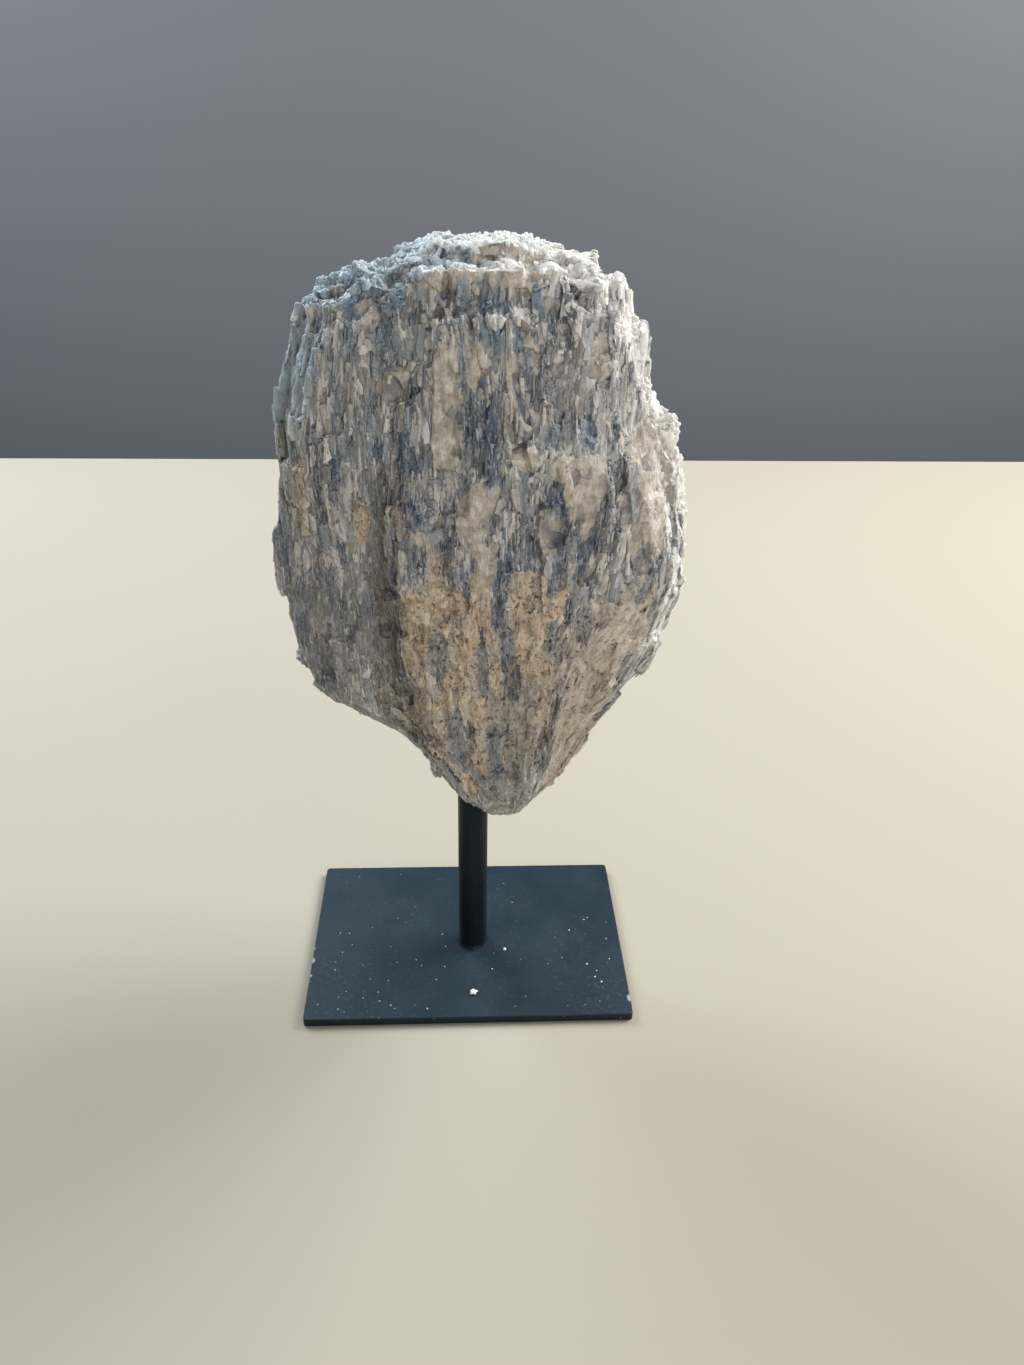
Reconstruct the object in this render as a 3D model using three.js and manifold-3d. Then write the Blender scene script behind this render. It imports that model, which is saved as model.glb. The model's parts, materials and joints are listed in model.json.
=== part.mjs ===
// Raw kyanite on its stand: a rough block of kyanite blades grown through quartz,
// held up on a black round post that is welded to a thin rectangular base plate.
// Millimetres, +Z up, the front faces -Y. The origin is the middle of the plate's underside.

import * as THREE from 'three';
import { mergeVertices } from 'three/addons/utils/BufferGeometryUtils.js';
import Module from 'manifold-3d';

const wasm = await Module();
wasm.setup();

// Base plate: a length of flat bar with its corners and edges just broken
const PLATE_WIDTH = 110;
const PLATE_DEPTH = 80;
const PLATE_THICKNESS = 3;
const PLATE_CORNER_RADIUS = 1;
const PLATE_EDGE_BREAK = 0.3;

// Post: round bar, with a small fillet of weld where it meets the plate
const POST_RADIUS = 5;
const POST_X = 1.7;
const POST_Y = -2.5;
const POST_TOP = 98;
const POST_END_BREAK = 0.6;
const WELD_REACH = 0.8;
const WELD_HEIGHT = 1.2;
const POST_SIDES = 24;

// Blind hole drilled up into the stone for the post
const HOLE_CLEARANCE = 0.3;

// Stone: the height of its blunt lower tip and of its crest
const STONE_BOTTOM = 67;
const STONE_TOP = 241;

// Each list gives [height, value] pairs up the stone, chosen by eye
const leftEdge = profile([
  [67, 5], [71, -1], [78, -7], [84, -12], [91, -18], [99, -28], [106, -39], [112, -47],
  [122, -52.5], [136, -55], [152, -55.5], [165, -55], [178, -53], [196, -51.5], [210, -49],
  [220, -46.5], [227, -42], [232, -35], [236, -25], [239, -17], [241, -10],
]);
const rightEdge = profile([
  [67, 18], [71, 23], [78, 29], [90, 37.5], [104, 46], [116, 52.5], [126, 57.5],
  [140, 61], [152, 64], [165, 63], [180, 60.5], [192, 56], [198, 50.5],
  [210, 49.5], [219, 46], [228, 41], [234, 36], [237, 31], [239.5, 25], [241, 19],
]);
const frontEdge = profile([
  [67, -16], [71, -20], [78, -25], [92, -30], [110, -34], [140, -36], [170, -35],
  [195, -33], [212, -30.5], [224, -27.5], [232, -24], [237, -19], [241, -12],
]);
const backEdge = profile([
  [67, -7], [71, 0], [78, 10], [92, 20], [110, 28], [140, 32], [170, 32],
  [195, 31], [212, 29], [224, 26], [232, 22], [237, 17], [241, 10],
]);
const RING_SQUARENESS = 2.35;

// Broad swells over the front and back: [waves round the stone, radians per mm up it, start, height]
const SWELLS = [
  [2, 0.062, 0.4, 1.6],
  [3, -0.086, 1.9, 1.2],
  [5, 0.12, 4.1, 0.9],
];

// Flat break across the back: its distance from the axis, and how it leans with x and with height
const BREAK_Y = 28;
const BREAK_LEAN_X = -0.16;
const BREAK_LEAN_Z = 0.05;

// Groove down the front between the left lobe and the middle bulge
const grooveX = profile([[80, -3], [90, -7], [100, -12.5], [112, -16.5], [150, -19], [180, -20]]);
const grooveDepth = profile([[78, 2], [90, 9], [108, 15], [140, 14], [160, 9], [186, 0]]);
const GROOVE_FADE = 30;

// Ridge down the lower front, right of which the face falls away
const ridgeX = profile([[67, 19], [80, 20], [100, 22], [124, 27]]);
const facetSlope = profile([[67, 0.5], [96, 0.6], [112, 0.35], [126, 0]]);

// Columns of kyanite round the stone, each broken off in ledges
const COLUMNS = 44;
const COLUMN_GAP = 0.0011;
const COLUMN_GIRTH_HEIGHT = 150;
const FRONT_COLUMN = 0.8;
const BACK_COLUMN = 1.25;
const COLUMN_WIDTHS = [0.55, 1.45];
const LEDGES = 12;
const LEDGE_HALF_HEIGHT = 0.35;
const LEDGE_STEP = 1.6;
const LEDGE_JITTER = 5.3;
const LEDGE_RUN_ON = 0.35;
const LEDGE_SLANT = 1.6;
const LEDGE_LIP = 0.7;

// Kyanite blades standing out of the surface: lengths and widths are [least, most]
const BLADE_LENGTH = [12, 24];
const BLADE_WIDTH = [3.2, 5.6];
const BLADE_THICKNESS = [3.4, 4.8];
const BLADE_PROUD = [0.8, 2];
const BLADE_RAKE = 0.08;
const BLADE_LEAN = 0.07;
const BLADE_ROWS = 6;
const BLADE_SPACING = 84;
const BLADE_LOWEST = 96;
const BLADE_HIGHEST = 225;
const BLADE_SCATTER = 7;
const BLADE_TIP_TAPER = 0.86;
const UNDERSIDE = -0.35;

// Broken ends of upright blades that make the crown
const CROWN_FOOT = 222;
const CROWN_SPACING = [10.4, 8.8];
const CROWN_BLADE = [11.4, 9.6];
const CROWN_BLADE_HEIGHT = 13;
const CROWN_UNEVEN = 1;
const CROWN_EDGE = 0.88;
const CROWN_TURN = 0.3;
const CROWN_TILT = 0.12;

// Quartz lumps are rounded, with corners moved in or out by up to this share
const LUMP_CHIP = 0.11;

// One number drives everything that is random
const SEED = 20241;

// A function through [position, value] pairs, smooth and without overshoot
function profile(pairs) {
  const slopes = pairs.map((pair, index) => {
    if (index === 0 || index === pairs.length - 1) {
      return 0;
    }
    const before = slopeBetween(pairs[index - 1], pair);
    const after = slopeBetween(pair, pairs[index + 1]);
    if (before * after <= 0) {
      return 0;
    }
    return (2 * before * after) / (before + after);
  });
  return (position) => {
    const last = pairs.length - 1;
    if (position <= pairs[0][0]) {
      return pairs[0][1];
    }
    if (position >= pairs[last][0]) {
      return pairs[last][1];
    }
    const index = pairs.findIndex((pair, i) => i < last && position < pairs[i + 1][0]);
    const [startPosition, startValue] = pairs[index];
    const [endPosition, endValue] = pairs[index + 1];
    const span = endPosition - startPosition;
    const t = (position - startPosition) / span;
    const rise = t * t * (3 - 2 * t);
    const leaving = t * (1 - t) * (1 - t) * span * slopes[index];
    const arriving = t * t * (t - 1) * span * slopes[index + 1];
    return startValue + (endValue - startValue) * rise + leaving + arriving;
  };
}

function slopeBetween(first, second) {
  return (second[1] - first[1]) / (second[0] - first[0]);
}

// A repeatable stream of numbers from 0 to 1
function randomStream(seed) {
  let state = seed;
  return () => {
    state = (state + 0x6d2b79f5) | 0;
    let mixed = Math.imul(state ^ (state >>> 15), 1 | state);
    mixed = (mixed + Math.imul(mixed ^ (mixed >>> 7), 61 | mixed)) ^ mixed;
    return ((mixed ^ (mixed >>> 14)) >>> 0) / 4294967296;
  };
}

function between(random, [low, high]) {
  return low + (high - low) * random();
}

function smoothstep(low, high, value) {
  const t = THREE.MathUtils.clamp((value - low) / (high - low), 0, 1);
  return t * t * (3 - 2 * t);
}

function signedPower(value, power) {
  return Math.sign(value) * Math.abs(value) ** power;
}

// How far the front surface is pushed back at one place
function frontRecess(x, z) {
  const fromGroove = x - grooveX(z);
  const wall = smoothstep(1.5, -3, fromGroove);
  const fade = Math.exp(Math.min(fromGroove, 0) / GROOVE_FADE);
  const groove = grooveDepth(z) * wall * fade;
  const facet = facetSlope(z) * Math.max(0, x - ridgeX(z));
  return groove + facet;
}

// A point of the stone's plain form: turn goes once round from 0 to 1, z is its height
function formPoint(turn, z) {
  const angle = turn * 2 * Math.PI;
  const halfWidth = (rightEdge(z) - leftEdge(z)) / 2;
  const halfDepth = (backEdge(z) - frontEdge(z)) / 2;
  const across = signedPower(Math.cos(angle), 2 / RING_SQUARENESS);
  const along = signedPower(Math.sin(angle), 2 / RING_SQUARENESS);
  const x = (rightEdge(z) + leftEdge(z)) / 2 + halfWidth * across;
  let y = (backEdge(z) + frontEdge(z)) / 2 + halfDepth * along;
  const faceShare = smoothstep(0, 0.7, Math.abs(along)) * smoothstep(4, 22, halfDepth);
  for (const [round, up, start, height] of SWELLS) {
    y += Math.sign(along) * height * faceShare * Math.sin(round * angle + up * z + start);
  }
  if (along < 0) {
    y += frontRecess(x, z) * smoothstep(0, 0.7, -along);
  }
  const breakFace = BREAK_Y + BREAK_LEAN_X * x + BREAK_LEAN_Z * (z - COLUMN_GIRTH_HEIGHT);
  return new THREE.Vector3(x, Math.min(y, breakFace), z);
}

// The outward direction there, from its neighbours
function formNormal(turn, z) {
  const round = formPoint(turn + 0.004, z).sub(formPoint(turn - 0.004, z));
  const above = formPoint(turn, Math.min(z + 1, STONE_TOP));
  const up = above.sub(formPoint(turn, Math.max(z - 1, STONE_BOTTOM)));
  return round.cross(up).normalize();
}

// Heights and offsets up one column: a pair of stations at each ledge, one at each end
function columnStations(random) {
  const rise = (STONE_TOP - STONE_BOTTOM) / (LEDGES + 1);
  let offset = LEDGE_STEP * (random() * 2 - 1);
  const stations = [{ z: STONE_BOTTOM, offset, slant: 0 }];
  for (let ledge = 1; ledge <= LEDGES; ledge += 1) {
    const z = STONE_BOTTOM + rise * ledge + LEDGE_JITTER * (random() * 2 - 1);
    const slant = LEDGE_SLANT * (random() * 2 - 1);
    const lip = LEDGE_LIP * random();
    stations.push({ z: z - LEDGE_HALF_HEIGHT, offset: offset + lip, slant });
    if (random() > LEDGE_RUN_ON) {
      offset = LEDGE_STEP * (random() * 2 - 1);
    }
    stations.push({ z: z + LEDGE_HALF_HEIGHT, offset: offset - lip, slant });
  }
  stations.push({ z: STONE_TOP, offset, slant: 0 });
  return stations;
}

// Turns as a function of the share of the way round the stone's girth
function girthTurns() {
  const steps = 360;
  const lengths = [0];
  for (let step = 1; step <= steps; step += 1) {
    const from = formPoint((step - 1) / steps, COLUMN_GIRTH_HEIGHT);
    const to = formPoint(step / steps, COLUMN_GIRTH_HEIGHT);
    lengths.push(lengths[step - 1] + from.distanceTo(to));
  }
  return profile(lengths.map((length, step) => [length / lengths[steps], step / steps]));
}

// Where each column starts round the stone, narrower at the front than at the back
function columnTurns(random) {
  const starts = [0];
  for (let column = 0; column < COLUMNS; column += 1) {
    const front = column > COLUMNS * 0.4;
    const width = (front ? FRONT_COLUMN : BACK_COLUMN) * between(random, COLUMN_WIDTHS);
    starts.push(starts[column] + width);
  }
  const turnAt = girthTurns();
  return starts.map((start) => turnAt(start / starts[COLUMNS]));
}

// The stone's body: upright columns with broken ledges, closed at the tip and the crest
function stoneBody() {
  const random = randomStream(SEED);
  const turns = columnTurns(random);
  const rings = Array.from({ length: 2 * LEDGES + 2 }, () => []);
  for (let column = 0; column < COLUMNS; column += 1) {
    columnStations(random).forEach(({ z, offset, slant }, ring) => {
      const share = (z - STONE_BOTTOM) / (STONE_TOP - STONE_BOTTOM);
      const strength = smoothstep(0, 0.14, share) * smoothstep(1, 0.96, share);
      for (const side of [-1, 1]) {
        const turn = side < 0 ? turns[column] + COLUMN_GAP : turns[column + 1] - COLUMN_GAP;
        const height = z + slant * side * 0.5 * strength;
        const point = formPoint(turn, height);
        rings[ring].push(point.addScaledVector(formNormal(turn, height), offset * strength));
      }
    });
  }
  return closedLoft(rings);
}

// Joins rings of equal count into one closed solid, with a point at each end
function closedLoft(rings) {
  const count = rings[0].length;
  const points = rings.flat();
  const lowEnd = points.length;
  points.push(average(rings[0]));
  const highEnd = points.length;
  points.push(average(rings[rings.length - 1]));
  const faces = [];
  const last = (rings.length - 1) * count;
  for (let column = 0; column < count; column += 1) {
    const next = (column + 1) % count;
    faces.push(lowEnd, next, column);
    faces.push(highEnd, last + column, last + next);
  }
  for (let ring = 0; ring + 1 < rings.length; ring += 1) {
    const low = ring * count;
    const high = low + count;
    for (let column = 0; column < count; column += 1) {
      const next = (column + 1) % count;
      faces.push(low + column, low + next, high + next);
      faces.push(low + column, high + next, high + column);
    }
  }
  return geometryFrom(points, faces);
}

function average(points) {
  const sum = new THREE.Vector3();
  points.forEach((point) => sum.add(point));
  return sum.divideScalar(points.length);
}

function geometryFrom(points, faces) {
  const geometry = new THREE.BufferGeometry();
  const flat = points.flatMap((point) => [point.x, point.y, point.z]);
  geometry.setAttribute('position', new THREE.Float32BufferAttribute(flat, 3));
  geometry.setIndex(faces);
  return geometry;
}

// One blade: a flat bar along local Z with both ends broken to a slant
function bladeGeometry(length, width, thickness, topSlant, footSlant) {
  const geometry = new THREE.BoxGeometry(width, thickness, length, 1, 1, 1);
  const positions = geometry.getAttribute('position');
  for (let index = 0; index < positions.count; index += 1) {
    const side = positions.getX(index) / (width / 2);
    const upper = positions.getZ(index) > 0;
    const slant = upper ? topSlant : -footSlant;
    positions.setZ(index, positions.getZ(index) + slant * side * width / 2);
    positions.setX(index, positions.getX(index) * (upper ? BLADE_TIP_TAPER : 1));
  }
  return geometry;
}

// A blade set into the surface, nearly upright, with its outer face a little proud
function surfaceBlade(random, turn, z) {
  const point = formPoint(turn, z);
  const outward = formNormal(turn, z);
  const length = between(random, BLADE_LENGTH);
  const width = between(random, BLADE_WIDTH);
  const thickness = between(random, BLADE_THICKNESS);
  const proud = between(random, BLADE_PROUD);
  const geometry = bladeGeometry(length, width, thickness, random() - 0.5, random() - 0.5);
  const sideways = outward.clone().setZ(0).normalize();
  const along = new THREE.Vector3(BLADE_LEAN * (random() * 2 - 1), 0, 1);
  const bend = THREE.MathUtils.clamp(outward.z, -0.6, 0.25);
  along.addScaledVector(sideways, BLADE_RAKE * (random() - 0.4) - bend).normalize();
  const across = new THREE.Vector3().crossVectors(sideways, along).normalize();
  const facing = new THREE.Vector3().crossVectors(along, across);
  const place = new THREE.Matrix4().makeBasis(across, facing, along);
  const sunk = (length / 2) * smoothstep(0.25, 0.8, outward.z);
  point.addScaledVector(outward, proud - thickness / 2).addScaledVector(along, -sunk);
  place.setPosition(point);
  return geometry.applyMatrix4(place);
}

// A rounded lump of quartz with flat chipped faces
function quartzLump(random, centre, radius, stretch) {
  const lump = mergedCopy(new THREE.IcosahedronGeometry(radius, 1));
  const positions = lump.getAttribute('position');
  for (let index = 0; index < positions.count; index += 1) {
    const swell = 1 + LUMP_CHIP * (random() * 2 - 1);
    positions.setXYZ(
      index,
      positions.getX(index) * swell,
      positions.getY(index) * swell,
      positions.getZ(index) * swell * stretch,
    );
  }
  lump.rotateY(random());
  lump.translate(centre.x, centre.y, centre.z);
  return lump;
}

// A copy with positions only, whose faces share their corners
function mergedCopy(geometry) {
  const bare = geometry.clone();
  bare.deleteAttribute('normal');
  bare.deleteAttribute('uv');
  return mergeVertices(bare, 0.0005);
}

function toSolid(geometry) {
  const merged = mergedCopy(geometry);
  const mesh = new wasm.Mesh({
    numProp: 3,
    vertProperties: merged.getAttribute('position').array,
    triVerts: new Uint32Array(merged.getIndex().array),
  });
  return new wasm.Manifold(mesh);
}

function toGeometry(solid) {
  const mesh = solid.getMesh();
  const geometry = new THREE.BufferGeometry();
  geometry.setAttribute('position', new THREE.BufferAttribute(new Float32Array(mesh.vertProperties), 3));
  geometry.setIndex(new THREE.BufferAttribute(new Uint32Array(mesh.triVerts), 1));
  return geometry;
}

// Blades spread evenly over the surface in staggered rows, then jittered
function spreadBlades() {
  const random = randomStream(SEED + 1);
  const blades = [];
  for (let row = 0; row < BLADE_ROWS; row += 1) {
    const share = row / (BLADE_ROWS - 1);
    const z = THREE.MathUtils.lerp(BLADE_LOWEST, BLADE_HIGHEST, share);
    const girth = 2 * (rightEdge(z) - leftEdge(z)) + 2 * (backEdge(z) - frontEdge(z));
    const count = Math.round(girth / BLADE_SPACING);
    for (let place = 0; place < count; place += 1) {
      const turn = (place + 0.5 * (row % 2) + 0.7 * (random() - 0.5)) / count;
      const height = z + BLADE_SCATTER * (random() * 2 - 1);
      if (formNormal(turn, height).z > UNDERSIDE) {
        blades.push(surfaceBlade(random, turn, height));
      }
    }
  }
  return blades;
}

// The height of the crown above a place, or nothing outside it
function crownHeight(x, y) {
  for (let z = STONE_TOP; z > CROWN_FOOT; z -= 0.5) {
    const halfWidth = (rightEdge(z) - leftEdge(z)) / 2;
    const halfDepth = (backEdge(z) - frontEdge(z)) / 2;
    const across = Math.abs(x - (rightEdge(z) + leftEdge(z)) / 2) / halfWidth;
    const along = Math.abs(y - (backEdge(z) + frontEdge(z)) / 2) / halfDepth;
    if (across ** RING_SQUARENESS + along ** RING_SQUARENESS < CROWN_EDGE) {
      return z;
    }
  }
  return null;
}

// Blade ends standing side by side over the crown, each broken off at its own height
function crownBlades() {
  const random = randomStream(SEED + 3);
  const [stepX, stepY] = CROWN_SPACING;
  const blades = [];
  for (let row = -3; row <= 3; row += 1) {
    for (let place = -6; place <= 6; place += 1) {
      const x = stepX * (place + 0.5 * Math.abs(row % 2) + 0.4 * (random() - 0.5));
      const y = stepY * (row + 0.4 * (random() - 0.5));
      const top = crownHeight(x, y);
      const [width, thickness] = CROWN_BLADE.map((size) => size * between(random, [0.8, 1.15]));
      const rise = CROWN_UNEVEN * (random() * 2 - 1);
      const slant = 0.5 * (random() - 0.5);
      const geometry = bladeGeometry(CROWN_BLADE_HEIGHT, width, thickness, slant, 0);
      geometry.rotateZ(CROWN_TURN * (random() * 2 - 1));
      geometry.rotateY(CROWN_TILT * (random() * 2 - 1));
      if (top !== null) {
        geometry.translate(x, y, top + rise - CROWN_BLADE_HEIGHT / 2);
        blades.push(geometry);
      }
    }
  }
  return blades;
}

// Quartz lumps along the right edge and the front of the crown, each [x, y, z, radius, stretch]
const LUMPS = [
  [53, -6, 190, 6, 1.3],
  [55.5, -4, 178, 6, 1.4],
  [58, 4, 166, 5.5, 1.3],
  [44, -6, 214, 6, 1.3],
  [39, -2, 226, 5.5, 1.1],
  [31, -14, 230, 6, 0.9],
  [21, -17, 233, 5.5, 0.9],
  [11, -18, 233, 5.5, 0.9],
  [1, -18, 230, 5, 0.9],
  [-38, -2, 225, 5, 1],
  [57, 4, 140, 6, 1.5],
];

function rawKyaniteSolid() {
  const random = randomStream(SEED + 2);
  const pieces = [...spreadBlades(), ...crownBlades()];
  for (const [x, y, z, radius, stretch] of LUMPS) {
    pieces.push(quartzLump(random, new THREE.Vector3(x, y, z), radius, stretch));
  }
  let stone = toSolid(stoneBody());
  for (const piece of pieces) {
    stone = stone.add(toSolid(piece));
  }
  const hole = new THREE.CylinderGeometry(
    POST_RADIUS + HOLE_CLEARANCE,
    POST_RADIUS + HOLE_CLEARANCE,
    POST_TOP + HOLE_CLEARANCE,
    POST_SIDES,
  );
  hole.rotateX(Math.PI / 2);
  hole.translate(POST_X, POST_Y, (POST_TOP + HOLE_CLEARANCE) / 2);
  return stone.subtract(toSolid(hole));
}

function basePlateGeometry() {
  const halfWidth = PLATE_WIDTH / 2 - PLATE_EDGE_BREAK;
  const halfDepth = PLATE_DEPTH / 2 - PLATE_EDGE_BREAK;
  const radius = PLATE_CORNER_RADIUS;
  const shape = new THREE.Shape();
  shape.moveTo(-halfWidth + radius, -halfDepth);
  shape.lineTo(halfWidth - radius, -halfDepth);
  shape.absarc(halfWidth - radius, -halfDepth + radius, radius, -Math.PI / 2, 0, false);
  shape.lineTo(halfWidth, halfDepth - radius);
  shape.absarc(halfWidth - radius, halfDepth - radius, radius, 0, Math.PI / 2, false);
  shape.lineTo(-halfWidth + radius, halfDepth);
  shape.absarc(-halfWidth + radius, halfDepth - radius, radius, Math.PI / 2, Math.PI, false);
  shape.lineTo(-halfWidth, -halfDepth + radius);
  shape.absarc(-halfWidth + radius, -halfDepth + radius, radius, Math.PI, 1.5 * Math.PI, false);
  const geometry = new THREE.ExtrudeGeometry(shape, {
    depth: PLATE_THICKNESS - 2 * PLATE_EDGE_BREAK,
    bevelEnabled: true,
    bevelThickness: PLATE_EDGE_BREAK,
    bevelSize: PLATE_EDGE_BREAK,
    bevelSegments: 1,
    curveSegments: 2,
  });
  geometry.translate(0, 0, PLATE_EDGE_BREAK);
  return geometry;
}

function postGeometry() {
  const outline = [
    [0, PLATE_THICKNESS],
    [POST_RADIUS + WELD_REACH, PLATE_THICKNESS],
    [POST_RADIUS + WELD_REACH * 0.35, PLATE_THICKNESS + WELD_HEIGHT * 0.45],
    [POST_RADIUS, PLATE_THICKNESS + WELD_HEIGHT],
    [POST_RADIUS, POST_TOP - POST_END_BREAK],
    [POST_RADIUS - POST_END_BREAK, POST_TOP],
    [0, POST_TOP],
  ].map(([radius, height]) => new THREE.Vector2(radius, height));
  const geometry = new THREE.LatheGeometry(outline, POST_SIDES);
  geometry.rotateX(Math.PI / 2);
  return geometry;
}

function namedMesh(name, geometry, color, roughness, metalness) {
  const material = new THREE.MeshStandardMaterial({ color, roughness, metalness });
  const mesh = new THREE.Mesh(geometry, material);
  mesh.name = name;
  return mesh;
}

const basePlate = namedMesh('base_plate', basePlateGeometry(), 0x14171a, 0.5, 0.1);

const post = namedMesh('post', postGeometry(), 0x0d1013, 0.5, 0.1);
post.position.set(POST_X, POST_Y, 0);

const rawKyanite = namedMesh('raw_kyanite', toGeometry(rawKyaniteSolid()), 0x9c9384, 0.75, 0);

const rawKyaniteOnStand = new THREE.Group();
rawKyaniteOnStand.add(basePlate, post, rawKyanite);

export default rawKyaniteOnStand;
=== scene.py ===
# %% [markdown]
# # A raw kyanite specimen on its stand
# The real object is a slab of rock as tall as a hand. It is a felt of kyanite blades with quartz
# between them, and a black round bar holds it up over a black plate.
# The plate and the bar come from the CAD model as they are and only get a finish. The stone's CAD
# solid gives its size and its large forms, and this lesson grows the blades, the lumps and the
# cracks of the rock on a copy of it.

import json
import math
import random

import bpy
import numpy as np
from mathutils import Matrix, Vector
from mathutils.bvhtree import BVHTree

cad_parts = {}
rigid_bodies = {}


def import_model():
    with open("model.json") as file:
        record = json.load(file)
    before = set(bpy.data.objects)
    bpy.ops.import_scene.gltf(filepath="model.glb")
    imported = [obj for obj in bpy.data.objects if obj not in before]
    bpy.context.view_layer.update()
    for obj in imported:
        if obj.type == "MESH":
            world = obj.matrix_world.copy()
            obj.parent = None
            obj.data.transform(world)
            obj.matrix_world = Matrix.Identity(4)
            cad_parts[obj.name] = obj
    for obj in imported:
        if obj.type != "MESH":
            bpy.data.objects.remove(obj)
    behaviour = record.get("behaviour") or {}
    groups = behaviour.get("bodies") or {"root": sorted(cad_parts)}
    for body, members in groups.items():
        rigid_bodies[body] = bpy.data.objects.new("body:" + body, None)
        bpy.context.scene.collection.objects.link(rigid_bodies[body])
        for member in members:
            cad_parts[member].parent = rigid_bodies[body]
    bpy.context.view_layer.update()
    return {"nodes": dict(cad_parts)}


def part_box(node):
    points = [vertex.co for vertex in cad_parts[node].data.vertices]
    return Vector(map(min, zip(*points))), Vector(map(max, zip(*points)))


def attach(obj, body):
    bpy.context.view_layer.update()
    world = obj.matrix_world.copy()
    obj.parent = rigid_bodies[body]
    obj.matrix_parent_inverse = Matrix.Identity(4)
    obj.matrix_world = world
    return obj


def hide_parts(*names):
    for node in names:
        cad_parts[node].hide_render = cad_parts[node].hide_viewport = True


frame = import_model()
MM = 0.001
stone_low, stone_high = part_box("raw_kyanite")
print("stone in millimetres", [round(v / MM, 1) for v in (*stone_low, *stone_high)])

# %% [markdown]
# ## The camera
# The picture was taken from arm's length, from a little above the top of the stone and looking
# down at it. The place and the three turns below were worked out from the four corners of the
# plate, so the render can be laid over the picture.

# %% Camera
CAMERA_PLACE = (-2.1, -306.2, 276.2)
CAMERA_YAW = math.radians(-3.05)
CAMERA_PITCH = math.radians(28.76)
CAMERA_ROLL = math.radians(1.13)
CAMERA_LENS = 28.9


def camera_turn(yaw, pitch, roll):
    """The turn of a camera that looks along +Y at rest, as a matrix with the right, up and back axes."""
    ahead = Vector((-math.sin(yaw) * math.cos(pitch), math.cos(yaw) * math.cos(pitch), -math.sin(pitch)))
    level = Vector((math.cos(yaw), math.sin(yaw), 0))
    above = level.cross(ahead)
    right = level * math.cos(roll) + above * math.sin(roll)
    up = above * math.cos(roll) - level * math.sin(roll)
    return Matrix((right, up, -ahead)).transposed()


bpy.ops.object.camera_add()
camera = bpy.context.object
camera.name = "camera"
camera.data.lens = CAMERA_LENS
camera.data.sensor_width = 36
camera.data.clip_start = 0.01
camera.matrix_world = Matrix.Translation(Vector(CAMERA_PLACE) * MM) @ camera_turn(
    CAMERA_YAW, CAMERA_PITCH, CAMERA_ROLL
).to_4x4()
bpy.context.scene.camera = camera
print("camera at", [round(v, 3) for v in camera.location])

# %% [markdown]
# ## Wiring nodes in code
# Node trees are easier to read as formulas. This small helper adds a node, sets it, and feeds it,
# and it works the same in a geometry tree and in a material, so the relief of the rock and its
# colours can be wired from the very same cells.


# %% A helper for node trees
class Wiring:
    """Adds nodes to one tree. A value is a number, a tuple or the output socket of another node."""

    def __init__(self, tree):
        self.tree = tree

    def feed(self, socket, value):
        if isinstance(value, bpy.types.NodeSocket):
            self.tree.links.new(value, socket)
        elif value is not None:
            socket.default_value = value

    def node(self, kind, inputs=None, **settings):
        made = self.tree.nodes.new(kind)
        for name, value in settings.items():
            setattr(made, name, value)
        for name, value in (inputs or {}).items():
            self.feed(made.inputs[name], value)
        return made

    def math(self, operation, a, b=0.5, c=None, clamp=False):
        made = self.node("ShaderNodeMath", operation=operation, use_clamp=clamp)
        for socket, value in zip(made.inputs, (a, b, c)):
            self.feed(socket, value)
        return made.outputs[0]

    def add(self, a, b):
        return self.math("ADD", a, b)

    def less(self, a, b):
        return self.math("SUBTRACT", a, b)

    def times(self, a, b):
        return self.math("MULTIPLY", a, b)

    def step(self, value, low, high, out_low=0.0, out_high=1.0):
        """A smooth step from out_low to out_high as value goes from low to high."""
        made = self.node("ShaderNodeMapRange", interpolation_type="SMOOTHSTEP")
        for name, item in zip(
            ("Value", "From Min", "From Max", "To Min", "To Max"), (value, low, high, out_low, out_high)
        ):
            self.feed(made.inputs[name], item)
        return made.outputs["Result"]

    def between(self, share, a, b):
        """A number from a to b."""
        made = self.node("ShaderNodeMix", data_type="FLOAT")
        for place, value in zip((0, 2, 3), (share, a, b)):
            self.feed(made.inputs[place], value)
        return made.outputs[0]

    def tint(self, share, a, b, blend="MIX"):
        """A colour from a to b."""
        made = self.node("ShaderNodeMix", data_type="RGBA", blend_type=blend)
        for place, value in zip((0, 6, 7), (share, a, b)):
            self.feed(made.inputs[place], value)
        return made.outputs[2]

    def vector(self, operation, a, b=(0, 0, 0)):
        made = self.node("ShaderNodeVectorMath", operation=operation)
        self.feed(made.inputs[0], a)
        self.feed(made.inputs[1], b)
        return made.outputs[0]

    def split(self, vector):
        made = self.node("ShaderNodeSeparateXYZ", {"Vector": vector})
        return made.outputs

    def noise(self, place, scale, detail=2.0, roughness=0.5):
        """Noise between 0 and 1; its lumps are about one over scale across."""
        made = self.node(
            "ShaderNodeTexNoise", {"Vector": place, "Scale": scale, "Detail": detail, "Roughness": roughness}
        )
        return made.outputs[0]

    def cells(self, place, size, seed, metric="CHEBYCHEV"):
        """Random cells of that (width, depth, length).

        Gives three random numbers for each cell, the place within the cell, and how far the cell's
        border is."""
        scaled = self.vector("MULTIPLY", place, tuple(1 / s for s in size))
        scaled = self.vector("ADD", scaled, (seed * 17.3, seed * 5.9, seed * 11.1))
        inputs = {"Vector": scaled, "Scale": 1.0}
        near, next_near = (
            self.node("ShaderNodeTexVoronoi", inputs, feature=feature, distance=metric)
            for feature in ("F1", "F2")
        )
        within = self.vector("SUBTRACT", scaled, near.outputs["Position"])
        border = self.less(next_near.outputs["Distance"], near.outputs["Distance"])
        return self.split(near.outputs["Color"]), self.split(within), border, near.outputs["Distance"]


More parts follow.
